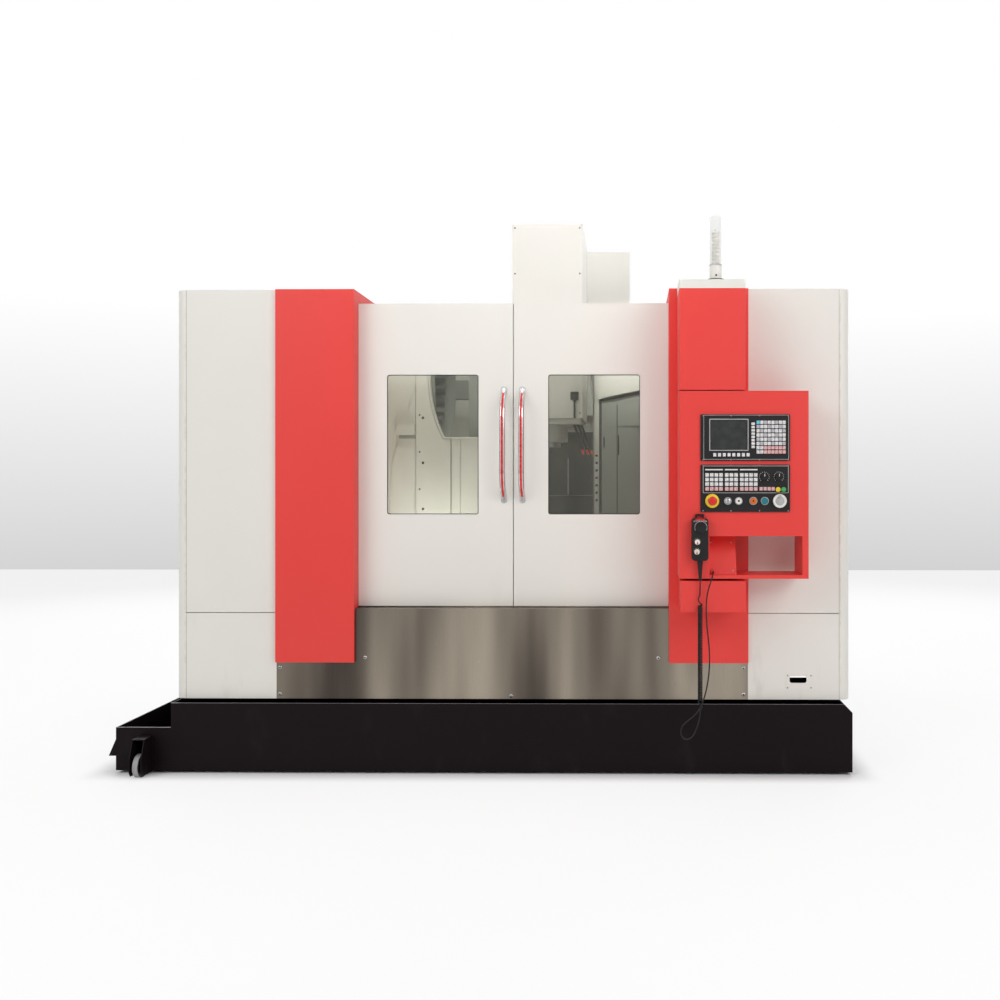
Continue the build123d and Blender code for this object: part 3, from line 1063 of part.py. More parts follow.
def controls():
    stem_end = UNIT_FACE_Y + BUTTON_ENTRY
    head_back = UNIT_FACE_Y - ESTOP_TRAVEL - ESTOP_GAP
    parts["estop_button"] = (across(ESTOP_STEM_RADIUS, ESTOP_X, CONTROL_ROW_Z, head_back, stem_end)
                             + across(ESTOP_RADIUS, ESTOP_X, CONTROL_ROW_Z, head_back - ESTOP_HEAD, head_back))
    for name, x, radius in BUTTONS:
        parts[name] = across(radius, x, CONTROL_ROW_Z, UNIT_FACE_Y - BUTTON_TRAVEL - BUTTON_STAND, stem_end)
    seat = UNIT_FACE_Y - SEAT
    shaft_end = UNIT_FACE_Y + SHAFT_ENTRY
    switch = across(KEY_SWITCH_RADIUS, KEY_SWITCH_X, CONTROL_ROW_Z, seat - KEY_SWITCH_PROUD, seat)
    switch += block(KEY_SWITCH_X - KEY_WING_WIDTH / 2, KEY_SWITCH_X + KEY_WING_WIDTH / 2,
                    seat - KEY_SWITCH_PROUD - KEY_WING_PROUD, seat - KEY_SWITCH_PROUD,
                    CONTROL_ROW_Z - KEY_WING_HEIGHT / 2, CONTROL_ROW_Z + KEY_WING_HEIGHT / 2)
    parts["key_switch"] = switch + across(SHAFT_RADIUS, KEY_SWITCH_X, CONTROL_ROW_Z, seat, shaft_end)
    for name, x in KNOBS:
        knob = across(KNOB_RADIUS, x, KNOB_Z, seat - KNOB_PROUD, seat)
        parts[name] = knob + across(SHAFT_RADIUS, x, KNOB_Z, seat, shaft_end)
    wheel_face = seat - HANDWHEEL_THICKNESS
    wheel = across(HANDWHEEL_RADIUS, HANDWHEEL_X, CONTROL_ROW_Z, wheel_face, seat)
    crank_z = CONTROL_ROW_Z + HANDWHEEL_RADIUS * CRANK_SHARE
    wheel += across(CRANK_RADIUS, HANDWHEEL_X, crank_z, wheel_face - CRANK_LENGTH, wheel_face)
    parts["panel_handwheel"] = wheel + across(SHAFT_RADIUS, HANDWHEEL_X, CONTROL_ROW_Z, seat, shaft_end)


# Handset: hangs on the front of the control box, with its pulse wheel, two selectors and the boot for its cord
HANDSET_LEFT_X = 883
HANDSET_RIGHT_X = 960
HANDSET_BOTTOM = 1079
HANDSET_TOP = 1280
HANDSET_DEPTH = 47
HANDSET_CORNER = 16
HOOK_WIDTH = 40
HOOK_HEIGHT = 18
HOOK_BAR = 6
HOOK_DEPTH = 12
BOOT_TOP_RADIUS = 13
BOOT_END_RADIUS = 6
BOOT_BOTTOM = 984
DIAL_X = 925
DIAL_Z = 1236
DIAL_RADIUS = 25
DIAL_PROUD = 12
DIAL_KNOB_RADIUS = 5
DIAL_KNOB_PROUD = 12
DIAL_KNOB_SHARE = 0.6
SELECTORS = (("axis_selector", 908, 1168), ("step_selector", 906, 1122))
SELECTOR_RADIUS = 12.5
SELECTOR_PROUD = 12
SELECTOR_ENTRY = 10


def handset():
    y0, y1 = STATION_FRONT_Y - HANDSET_DEPTH, STATION_FRONT_Y
    case = rounded_block(HANDSET_LEFT_X, HANDSET_RIGHT_X, y0, y1, HANDSET_BOTTOM, HANDSET_TOP, HANDSET_CORNER)
    middle = (HANDSET_LEFT_X + HANDSET_RIGHT_X) / 2
    hook = block(middle - HOOK_WIDTH / 2, middle + HOOK_WIDTH / 2, y1 - HOOK_DEPTH, y1, HANDSET_TOP,
                 HANDSET_TOP + HOOK_HEIGHT)
    hook -= block(middle - HOOK_WIDTH / 2 + HOOK_BAR, middle + HOOK_WIDTH / 2 - HOOK_BAR, y1 - HOOK_DEPTH - OVERRUN,
                  y1 + OVERRUN, HANDSET_TOP - OVERRUN, HANDSET_TOP + HOOK_HEIGHT - HOOK_BAR)
    boot_y = (y0 + y1) / 2
    boot = Pos(CURL_X, boot_y, BOOT_BOTTOM) * Cone(BOOT_END_RADIUS, BOOT_TOP_RADIUS, HANDSET_BOTTOM - BOOT_BOTTOM,
                                                   align=(Align.CENTER, Align.CENTER, Align.MIN))
    turning = [("handset_wheel", DIAL_X, DIAL_Z, DIAL_RADIUS, DIAL_PROUD)]
    turning += [(name, x, z, SELECTOR_RADIUS, SELECTOR_PROUD) for name, x, z in SELECTORS]
    case = case + hook + boot
    for name, x, z, radius, proud in turning:
        seat = y0 - SEAT
        case -= across(SHAFT_RADIUS + RUNNING, x, z, y0 - OVERRUN, y0 + SELECTOR_ENTRY + SEAT)
        knob = across(radius, x, z, seat - proud, seat) + across(SHAFT_RADIUS, x, z, seat, y0 + SELECTOR_ENTRY)
        if name == "handset_wheel":
            crank_z = z + radius * DIAL_KNOB_SHARE
            knob += across(DIAL_KNOB_RADIUS, x, crank_z, seat - proud - DIAL_KNOB_PROUD, seat - proud)
        parts[name] = knob
    parts["handset"] = case


# Handset cord: a thin lead that hangs in a loop from the gland, then a curly stretch up to the boot
CORD_RADIUS = 3.3
CURL_RADIUS = 12
CURL_X = 923
CURL_BOTTOM = 410
CURL_Y = STATION_FRONT_Y - HANDSET_DEPTH / 2
BEND_SHARE = 0.45
CORD_ROUTE = [(987, -232, 1024), (987, -268, 1024), (974, -291, 985), (955, -292, 932), (949, -288, 860),
              (954, -287, 765), (965, -288, 672), (967, -290, 585), (957, -290, 497), (938, -289, 420),
              (909, -287, 362), (869, -285, 329), (838, -283, 305), (828, -281, 266), (846, -279, 236),
              (880, -277, 238), (906, -275, 282), (923, -273.5, 346), (923, -273.5, 410)]


def cord():
    points = [Vector(*point) for point in CORD_ROUTE]
    radii = []
    for before, here, after in zip(points, points[1:], points[2:]):
        turn = radians((here - before).get_angle(after - here))
        shorter = min((here - before).length, (after - here).length)
        radii.append(BEND_SHARE * shorter * (1 + cos(turn)) / sin(turn))
    path = FilletPolyline(*points, radius=radii)
    parts["cord_lower"] = sweep(Plane(origin=path @ 0, z_dir=path % 0) * Circle(CORD_RADIUS), path=path)
    parts["cord_curl"] = rod(CURL_RADIUS, (CURL_X, CURL_Y, CURL_BOTTOM), (CURL_X, CURL_Y, BOOT_BOTTOM))
    print("cord bend radii", [round(radius) for radius in radii], "length", round(path.length))


CORD_NODES = ("cord_lower", "cord_curl")


def footprint_middle():
    """The middle of the machine's footprint, without its free cord."""
    boxes = [shape.bounding_box() for name, shape in parts.items() if name not in CORD_NODES]
    low_x, high_x = min(box.min.X for box in boxes), max(box.max.X for box in boxes)
    low_y, high_y = min(box.min.Y for box in boxes), max(box.max.Y for box in boxes)
    return (low_x + high_x) / 2, (low_y + high_y) / 2, min(box.min.Z for box in boxes)


def build():
    for make in (front_panels, side_walls, rear_panel, pillars, apron, doors, door_header, inner_guards, bed, column,
                 saddle, table, head, head_cover, spindle, tool_changer, cable_tower, cabinet, coolant_tank, station,
                 control_units, controls, handset, cord):
        make()
    x, y, z = footprint_middle()
    return {name: Pos(-x, -y, -z) * shape for name, shape in parts.items()}, (x, y, z)


os.makedirs("parts", exist_ok=True)
placed, shift = build()
for node, shape in placed.items():
    export_step(shape, "parts/" + node + ".step")
print(len(placed), "nodes, shifted by", shift)
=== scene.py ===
# %% [markdown]
# # A machining center, dressed for the studio
# The solids come in finished and fixed: doors, castings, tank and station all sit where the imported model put
# them. This lesson gives them real finishes, adds the small things that a solid model leaves out, and sets up
# a camera, a floor and soft light.

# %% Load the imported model
import math

import bmesh
import bpy
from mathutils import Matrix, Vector


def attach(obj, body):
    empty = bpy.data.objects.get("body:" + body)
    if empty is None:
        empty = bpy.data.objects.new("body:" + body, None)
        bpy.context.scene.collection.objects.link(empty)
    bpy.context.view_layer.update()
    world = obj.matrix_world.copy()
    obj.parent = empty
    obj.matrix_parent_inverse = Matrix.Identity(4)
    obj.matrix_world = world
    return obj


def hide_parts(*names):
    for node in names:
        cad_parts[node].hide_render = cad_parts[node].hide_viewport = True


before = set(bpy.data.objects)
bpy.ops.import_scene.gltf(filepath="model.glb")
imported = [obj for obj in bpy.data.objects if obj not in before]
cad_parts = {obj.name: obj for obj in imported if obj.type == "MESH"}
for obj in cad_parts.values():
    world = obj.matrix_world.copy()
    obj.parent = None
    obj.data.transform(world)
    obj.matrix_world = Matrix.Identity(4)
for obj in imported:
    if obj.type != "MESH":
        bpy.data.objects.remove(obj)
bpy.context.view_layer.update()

# %% [markdown]
# ## One ruler for everything
# The machine was drawn in millimetres from the middle of its front panels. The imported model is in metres
# and stands on its middle. One small function turns drawing sizes into scene points, so every piece below
# can be placed with the numbers a fitter would read off the drawing.

# %% From drawing millimetres to scene metres
MM = 0.001
DRAWING_SHIFT = Vector((156.5, -1135.5, 0))


def spot(x, y, z):
    """A point of the machine drawing, in scene metres."""
    return (Vector((x, y, z)) + DRAWING_SHIFT) * MM


print("front panels lie at y =", round(spot(0, 0, 0).y, 4))

# %% [markdown]
# ## The camera
# The view is straight on: every upright edge is upright, and lines into depth run to a point right of
# the middle. A view camera does that by sliding its film, which is what shift does here. The camera stands
# a little nearer to the middle than that point and turns by half a degree, so that less slide is needed and
# a view from another side still holds the whole machine.

# %% Camera
FILM_WIDTH, FOCAL_LENGTH = 36, 35.95
FILM_SLIDE, FILM_DROP = -0.12, -0.0168
FAR_LIMIT = 200
CAMERA_STAND = (595, -4988, 1444)
CAMERA_TURN = 0.61
camera_data = bpy.data.cameras.new("studio_camera")
camera_data.sensor_width = FILM_WIDTH
camera_data.lens = FOCAL_LENGTH
camera_data.shift_x = FILM_SLIDE
camera_data.shift_y = FILM_DROP
camera_data.clip_end = FAR_LIMIT
camera = bpy.data.objects.new("studio_camera", camera_data)
camera.location = spot(*CAMERA_STAND)
camera.rotation_euler = (math.radians(90), 0, math.radians(CAMERA_TURN))
bpy.context.scene.collection.objects.link(camera)
bpy.context.scene.camera = camera
print("camera stands at", [round(v, 3) for v in camera.location])

# %% [markdown]
# ## The handset's cord
# The pendant hangs on a curly cord: a straight tail leaves the gland, drops, turns up in a slack bend
# and winds into a close helix that ends under the handset. A sweep along a polyline would look like bent
# wire, so it is one spline of order three. The helix is made of more points of that same spline, sixteen
# to a turn, and a short straight neck runs from the last turn into the handset's boot.

# %% Cord
CORD_DIAMETER = 6.6
CURL_OUTSIDE = 24
CURL_PITCH = 7.4
CURL_STEPS = 16
CURL_LEAD = 42
CURL_BOTTOM, CURL_TOP, BOOT_END = 410, 872, 986
CURL_X, CURL_Y = 923, -273.5
tail_route = [(987, -232, 1024), (987, -268, 1024), (974, -291, 985), (955, -292, 932), (949, -288, 860),
              (954, -287, 765), (965, -288, 672), (967, -290, 585), (957, -290, 497), (938, -289, 420),
              (909, -287, 362), (869, -285, 329), (838, -283, 305), (828, -281, 266), (846, -279, 236),
              (880, -277, 238), (906, -275, 282), (923, -273.5, 346)]
curl_turns = int((CURL_TOP - CURL_BOTTOM) / CURL_PITCH)
curl_radius = (CURL_OUTSIDE - CORD_DIAMETER) / 2


def curl_point(step):
    """One point of the helix, whose first and last turn stretch out towards the straight runs."""
    turn = step / CURL_STEPS
    angle = 2 * math.pi * turn
    height = CURL_BOTTOM + (CURL_TOP - CURL_BOTTOM) * turn / curl_turns
    height -= CURL_LEAD * max(0, 1 - turn) ** 2
    height += CURL_LEAD * max(0, 1 - curl_turns + turn) ** 2
    return (CURL_X + curl_radius * math.sin(angle), CURL_Y + curl_radius * math.cos(angle), height)


cord_points = tail_route + [curl_point(step) for step in range(curl_turns * CURL_STEPS + 1)]
cord_points += [(CURL_X, CURL_Y + curl_radius / 2, CURL_TOP + 2 * CURL_LEAD), (CURL_X, CURL_Y, BOOT_END)]
cord_curve = bpy.data.curves.new("handset_cord", "CURVE")
cord_curve.dimensions = "3D"
cord_spline = cord_curve.splines.new("NURBS")
cord_spline.points.add(len(cord_points) - 1)
for knot, point in zip(cord_spline.points, cord_points):
    knot.co = (*spot(*point), 1)
    knot.radius = CORD_DIAMETER / 2 * MM
cord_spline.order_u = 3
cord_spline.use_endpoint_u = True
cord_spline.resolution_u = 3
cord_curve.bevel_depth = 1
cord_curve.bevel_resolution = 3
cord_curve.use_fill_caps = True
handset_cord = bpy.data.objects.new("handset_cord", cord_curve)
bpy.context.scene.collection.objects.link(handset_cord)
# A spline of order three touches the middle of each leg, so its length lies between legs and middles
middles = [[(near + far) / 2 for near, far in zip(first, second)]
           for first, second in zip(cord_points, cord_points[1:])]
leg_sum, middle_sum = [sum(math.dist(first, second) for first, second in zip(line, line[1:]))
                       for line in (cord_points, [cord_points[0]] + middles + [cord_points[-1]])]
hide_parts("cord_lower", "cord_curl")
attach(handset_cord, "machine")

# %% [markdown]
# ## Shader sums in plain Python
# A finish is a small graph of nodes. Wiring each one by hand hides the idea, so a value in the graph gets a
# Python wrapper: adding or multiplying two of them adds the Math node that does it. Colours go through Mix
# nodes, because a Math node would turn them grey. One method makes every other kind of node.

# %% A wire that can do sums
class Wire:
    """One output in a node graph."""

    def __init__(self, graph, socket):
        self.graph = graph
        self.socket = socket

    def sum_with(self, operation, left, right):
        return self.graph.node("ShaderNodeMath", {"operation": operation}, {0: left, 1: right})

    def __add__(self, other):
        return self.sum_with("ADD", self, other)

    def __rsub__(self, other):
        return self.sum_with("SUBTRACT", other, self)

    def __mul__(self, other):
        return self.sum_with("MULTIPLY", self, other)

    __radd__ = __add__
    __rmul__ = __mul__


class Graph:
    """A node tree that is written down one node at a time."""

    def __init__(self, tree):
        self.tree = tree

    def node(self, kind, settings=None, sockets=None, out=0):
        made = self.tree.nodes.new(kind)
        for key, value in (settings or {}).items():
            setattr(made, key, value)
        for key, value in (sockets or {}).items():
            self.feed(made.inputs[key], value)
        return Wire(self, made.outputs[out])

    def feed(self, target, value):
        if isinstance(value, Wire):
            self.tree.links.new(value.socket, target)
        else:
            target.default_value = value


class Finish(Graph):
    """A procedural surface on object coordinates, built around one Principled shader."""

    def __init__(self, name, roughness, metallic=0.0, **plain):
        self.material = bpy.data.materials.new(name)
        self.material.use_nodes = True
        super().__init__(self.material.node_tree)
        self.shader = self.tree.nodes["Principled BSDF"]
        self.shader.inputs["Roughness"].default_value = roughness
        self.shader.inputs["Metallic"].default_value = metallic
        for socket, value in plain.items():
            self.shader.inputs[socket.replace("_", " ")].default_value = value
        self.place = self.node("ShaderNodeTexCoord", out="Object")

    def set(self, socket, value):
        self.feed(self.shader.inputs[socket], value)

    def noise(self, scale, detail=2.0, stretch=(1, 1, 1), shift=0.0):
        """Cloudy values round one half. Stretch squeezes the pattern, shift picks another part of it."""
        mapped = self.node("ShaderNodeMapping", {}, {"Vector": self.place, "Scale": stretch,
                                                     "Location": (shift, 0, 0)})
        return self.node("ShaderNodeTexNoise", {}, {"Vector": mapped, "Scale": scale, "Detail": detail})

    def ramp(self, value, low, high):
        """Zero below low, one above high, and a smooth step between."""
        return self.node("ShaderNodeMapRange", {"interpolation_type": "SMOOTHSTEP"},
                         {"Value": value, "From Min": low, "From Max": high})

    def blend(self, factor, first, second):
        return self.node("ShaderNodeMix", {"data_type": "RGBA"}, {0: factor, 6: first, 7: second}, out=2)

    def axis(self, name):
        return self.node("ShaderNodeSeparateXYZ", {}, {0: self.place}, out=name)

    def bump(self, height, distance, strength=1.0):
        self.set("Normal", self.node("ShaderNodeBump", {}, {"Height": height, "Distance": distance,
                                                            "Strength": strength}))


def seen(red, green, blue):
    """A colour as the eye reads it on a screen, turned into the linear light that a shader wants."""
    linear = [value / 12.92 if value < 0.04 else ((value + 0.055) / 1.055) ** 2.4
              for value in (red, green, blue)]
    return (*linear, 1)


print("shader wrapper ready")

# %% [markdown]
# ## Paint on folded sheet
# The cabinet is powder coated. Powder melts into a skin with a faint orange peel, a millimetre or two
# across, and its colour drifts a little over a large panel. A flat colour looks like plastic, so the paint
# gets slow drift, fine peel in the bump, uneven gloss, and a trace of grey dust where hands and brooms reach.
# Inside the guards the white paint is blended to an olive grey: painted shade, for the shade under the roof.

# %% Powder coat
def inside_guard_shade(finish):
    """One inside the guards, where the shade under the roof is painted into the colour, and zero outside, in
    scene metres.
    """
    x, y, z = [finish.axis(name) for name in "XYZ"]
    across = finish.ramp(x, -1.15, -1.1) * finish.ramp(x, 1.35, 1.3)
    along = finish.ramp(y, -0.98, -0.94) * finish.ramp(y, 0.66, 0.64)
    return across * along * finish.ramp(z, 2.4, 2.15)


def powder_coat(name, colour, drifted, roughness, peel=0.00022, dust=0.25, shine=0.5, mist_and_shade=0.0):
    finish = Finish(name, roughness, Specular_IOR_Level=shine)
    drift = finish.noise(1.7, 4.0)
    scuffs = finish.ramp(finish.noise(9.0, 6.0, (1, 1, 0.35)), 0.58, 0.78)
    low_down = finish.ramp(finish.axis("Z"), 1.1, 0.2)
    skin = finish.blend(drift, colour, drifted)
    grey = seen(0.55, 0.53, 0.5)
    worn = finish.blend(scuffs * low_down * dust, skin, grey)
    # Painted shade: inside the guards the colour is blended toward an olive grey, for the shade under the
    # roof.
    if mist_and_shade:
        worn = finish.blend(mist_and_shade * inside_guard_shade(finish), worn, seen(0.62, 0.63, 0.52))
    finish.set("Base Color", worn)
    finish.set("Roughness", roughness - 0.06 + 0.12 * finish.noise(14.0, 3.0))
    finish.bump(finish.noise(520.0, 2.0), peel, 0.5)
    return finish.material


finishes = {
    # The white paint carries the painted shade inside the guards.
    "white_paint": powder_coat("white_powder_coat", seen(0.935, 0.925, 0.9), seen(0.91, 0.9, 0.87), 0.42,
                               mist_and_shade=0.55),
    "red_paint": powder_coat("red_powder_coat", seen(0.93, 0.25, 0.225), seen(0.9, 0.225, 0.2), 0.45,
                             peel=0.0003, dust=0.1),
    "black_paint": powder_coat("black_tank_paint", seen(0.085, 0.052, 0.066), seen(0.07, 0.046, 0.058), 0.5,
                               peel=0.0003, dust=0.02, shine=0.1),
    # A lighter paint for the tank's rims: a painted highlight on their lit top edges.
    "worn_edge": powder_coat("worn_tank_edge", seen(0.5, 0.46, 0.48), seen(0.34, 0.31, 0.33), 0.35,
                             peel=0.0001, dust=0.1),
    # A grey copy of the white paint: painted shade, for guard sheets and parts that stand in shade.
    "guard_grey": powder_coat("grey_guard_paint", seen(0.6, 0.615, 0.57), seen(0.5, 0.515, 0.47), 0.45,
                              peel=0.0002, dust=0.1),
    # Grey cover paint, also used for dark strips of painted shade behind the windows.
    "cover_steel": powder_coat("grey_cover_paint", seen(0.215, 0.215, 0.22), seen(0.175, 0.175, 0.175), 0.4,
                               peel=0.0001, dust=0.5),
}
print("paints:", sorted(finishes))

# %% [markdown]
# ## Brushed and ground steel
# The apron under the doors is stainless sheet, brushed upright: the grain is thousands of fine scratches, so
# its noise is squeezed hard along one axis. Broad, soft bands of lighter and browner metal run the same way:
# partly the sheet's own tone, and on the apron mostly a painted reflection of the room's light and dark.
# Ground table and rail faces have the same scratches along X, and chrome has none, only faint finger marks.

# %% Bare metal
def brushed_metal(name, bright, dark_band, grain, bands, roughness, shift=0.0):
    finish = Finish(name, roughness, metallic=1.0)
    scratches = finish.noise(420.0, 3.0, grain)
    # Broad bands: the metal's own tone, and on the apron a painted reflection of light and dark.
    tone_and_reflection_bands = finish.ramp(finish.noise(1.0, 3.0, bands, shift), 0.34, 0.68)
    metal = finish.blend(tone_and_reflection_bands, dark_band, bright)
    finish.set("Base Color", finish.blend(scratches * 0.3, metal, seen(0.42, 0.4, 0.37)))
    finish.set("Roughness", roughness - 0.09 + 0.18 * scratches)
    finish.bump(scratches, 0.00006, 0.5)
    return finish.material


# Picks where the apron's painted reflection bands fall.
APRON_SHIFT = 5.8
finishes["stainless"] = brushed_metal("brushed_stainless", seen(0.71, 0.665, 0.6), seen(0.25, 0.22, 0.2),
                                      (1, 1, 0.012), (1.9, 1.9, 0.2), 0.3, APRON_SHIFT)
finishes["ground_steel"] = brushed_metal("ground_steel", seen(0.74, 0.74, 0.73), seen(0.6, 0.6, 0.6),
                                         (0.02, 1, 1), (0.4, 5, 5), 0.36)
finishes["chrome"] = brushed_metal("handle_chrome", seen(0.9, 0.9, 0.91), seen(0.83, 0.83, 0.84),
                                   (0.1, 0.1, 0.1), (6, 6, 6), 0.13)
print("metals made")

# %% [markdown]
# ## Castings, plastics and rubber
# Castings are filled and painted, so they keep a sandy skin under the colour. Mouldings have a fine spark
# texture from the tool, gloss mouldings much less of it, and rubber is dull with a grey bloom. They all use
# one recipe: two close colours, a grain size and a depth.

# %% Moulded and cast skins
def moulding(name, colour, worn, roughness, grain=700.0, depth=0.0001, shine=0.5):
    finish = Finish(name, roughness, Specular_IOR_Level=shine)
    cloud = finish.noise(25.0, 4.0)
    finish.set("Base Color", finish.blend(finish.ramp(cloud, 0.35, 0.7), colour, worn))
    finish.set("Roughness", roughness - 0.07 + 0.14 * finish.noise(60.0, 3.0))
    finish.bump(finish.noise(grain, 3.0), depth, 0.6)
    return finish.material


MOULDINGS = {
    "casting": (seen(0.69, 0.69, 0.65), seen(0.675, 0.675, 0.635), 0.5, 220.0, 0.0003),
    "black_plastic": (seen(0.085, 0.075, 0.08), seen(0.105, 0.095, 0.1), 0.45, 900.0, 0.00012, 0.28),
    "grey_plastic": (seen(0.72, 0.72, 0.72), seen(0.66, 0.66, 0.66), 0.42, 900.0, 0.00006),
    "white_plastic": (seen(0.93, 0.92, 0.89), seen(0.88, 0.87, 0.83), 0.3, 900.0, 0.00004),
    "red_plastic": (seen(0.86, 0.13, 0.1), seen(0.78, 0.1, 0.08), 0.28, 900.0, 0.00004),
    "orange_plastic": (seen(0.9, 0.45, 0.12), seen(0.82, 0.38, 0.1), 0.3, 900.0, 0.00004),
    "teal_plastic": (seen(0.1, 0.5, 0.55), seen(0.08, 0.42, 0.48), 0.3, 900.0, 0.00004),
    "yellow_plastic": (seen(0.97, 0.84, 0.16), seen(0.93, 0.78, 0.13), 0.35, 900.0, 0.00004),
    "green_plastic": (seen(0.25, 0.68, 0.36), seen(0.2, 0.58, 0.3), 0.3, 900.0, 0.00004),
    "cord_rubber": (seen(0.085, 0.08, 0.082), seen(0.13, 0.125, 0.12), 0.55, 1400.0, 0.00008, 0.3),
    "caster_rubber": (seen(0.64, 0.63, 0.64), seen(0.56, 0.55, 0.55), 0.5, 700.0, 0.0002),
}
for slot_name, recipe in MOULDINGS.items():
    finishes[slot_name] = moulding("moulded_" + slot_name, *recipe)
print("mouldings:", len(MOULDINGS))

# %% [markdown]
# ## Clear sheet
# The door panes and the lamp tube are clear plastic. Refracting glass would swallow the light on its way
# into the machine, so the sheet is a thin veil instead: mostly transparent, a little olive where
# coolant mist has dried, and shiny.

# %% Veil for panes and lamp
def clear_sheet(name, tint, veil, roughness):
    finish = Finish(name, roughness, Specular_IOR_Level=0.6)
    mist_and_shade = finish.noise(6.0, 5.0, (1, 1, 0.5))
    finish.set("Base Color", finish.blend(mist_and_shade, tint, seen(0.62, 0.62, 0.56)))
    finish.set("Alpha", veil - 0.05 + 0.1 * mist_and_shade)
    return finish.material


finishes["clear_pane"] = clear_sheet("clear_door_pane", seen(0.4, 0.42, 0.37), 0.13, 0.06)
finishes["clear_plastic"] = clear_sheet("clear_lamp_tube", seen(0.95, 0.96, 0.96), 0.1, 0.12)
print("clear sheets made")

# %% [markdown]
# ## Dress the solids
# The imported solids carry material slots with plain colours. Their meshes stay as they are: only the
# material in each slot is swapped for the finish of the same name. The tool magazine stands in the shade
# behind its guard, so it gets the grey of painted shade in place of its white paint.

# %% Swap plain colours for finishes
# The magazine housing takes the painted shade grey in place of its white paint.
PAINTED_SHADE_NODES = ("magazine_housing",)
for node_name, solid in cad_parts.items():
    for material_slot in solid.material_slots:
        slot_name = material_slot.material.name.split(".")[0]
        material_slot.material = finishes["guard_grey" if node_name in PAINTED_SHADE_NODES else slot_name]
handset_cord.data.materials.append(finishes["cord_rubber"])
print("dressed", len(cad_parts), "solids")

# %% [markdown]
# ## Two ways to make a small part
# Trim, bezels and turned parts are made from loops: rings of points that are joined one to the next and
# closed at the ends, which gives a sound mesh for a plate, a ring or a lathe part alike. Screws, keys and
# dial marks repeat, so they are Geometry Nodes recipes that run on a cloud of points and are then turned
# into plain mesh, because instances don't survive an export.

# %% Parts from loops of points
def piece(name, loops, finish, body="machine", ring=False, smooth=False):
    """Joins equal loops of drawing points into a closed mesh that rides on a body."""
    made = bmesh.new()
    rows = [[made.verts.new(spot(*point)) for point in loop] for loop in loops]
    pairs = list(zip(rows, rows[1:]))
    if ring:
        pairs.append((rows[-1], rows[0]))
    else:
        made.faces.new(rows[0])
        made.faces.new(rows[-1])
    for first, second in pairs:
        for index in range(len(first)):
            after = (index + 1) % len(first)
            made.faces.new((first[index], first[after], second[after], second[index]))
    bmesh.ops.recalc_face_normals(made, faces=made.faces)
    for face in made.faces:
        face.smooth = smooth and len(face.verts) == 4
    mesh = bpy.data.meshes.new(name)
    made.to_mesh(mesh)
    made.free()
    mesh.materials.append(finishes[finish])
    thing = bpy.data.objects.new(name, mesh)
    bpy.context.scene.collection.objects.link(thing)
    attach(thing, body)
    return thing


def rounded(x0, x1, z0, z1, corner, y, steps=5):
    """A rectangle with round corners, facing the operator."""
    points = []
    for x, z, turn in ((x1, z1, 0), (x0, z1, 1), (x0, z0, 2), (x1, z0, 3)):
        middle_x = x - corner if x == x1 else x + corner
        middle_z = z - corner if z == z1 else z + corner
        for step in range(steps + 1):
            angle = math.pi / 2 * (turn + step / steps)
            points.append((middle_x + corner * math.cos(angle), y, middle_z + corner * math.sin(angle)))
    return points


def plate(name, box, corner, back, front, finish, body="machine", inset=0, crown=0):
    """A rounded plate between two depths. With an inset, its front edge slopes in to a smaller crown."""
    x0, x1, z0, z1 = box
    loops = [rounded(x0, x1, z0, z1, corner, y) for y in (back, front)]
    if inset:
        loops.append(rounded(x0 + inset, x1 - inset, z0 + inset, z1 - inset, corner, front - crown))
    return piece(name, loops, finish, body)


def bezel(name, box, corner, width, y_front, y_back, finish, body="machine"):
    """A flat ring round a rectangle, with its front edges broken."""
    x0, x1, z0, z1 = box
    edge = width / 4
    loops = [rounded(x0, x1, z0, z1, corner, y_back),
             rounded(x0, x1, z0, z1, corner, y_front + edge),
             rounded(x0 + edge, x1 - edge, z0 + edge, z1 - edge, max(corner - edge, edge), y_front),
             rounded(x0 + width - edge, x1 - width + edge, z0 + width - edge, z1 - width + edge,
                     max(corner - width + edge, edge), y_front),
             rounded(x0 + width, x1 - width, z0 + width, z1 - width, max(corner - width, edge), y_back)]
    return piece(name, loops, finish, body, ring=True)


def turned(name, centre, axis, profile, finish, body="machine", sides=36, ring=False):
    """A lathe part: radius and distance pairs along an axis from a centre."""
    way = Vector(axis).normalized()
    across = way.orthogonal().normalized()
    up = way.cross(across)
    loops = []
    for radius, along in profile:
        middle = Vector(centre) + way * along
        angles = [2 * math.pi * side / sides for side in range(sides)]
        loops.append([middle + radius * (across * math.cos(angle) + up * math.sin(angle))
                      for angle in angles])
    return piece(name, loops, finish, body, ring, smooth=True)


print("loop tools ready")

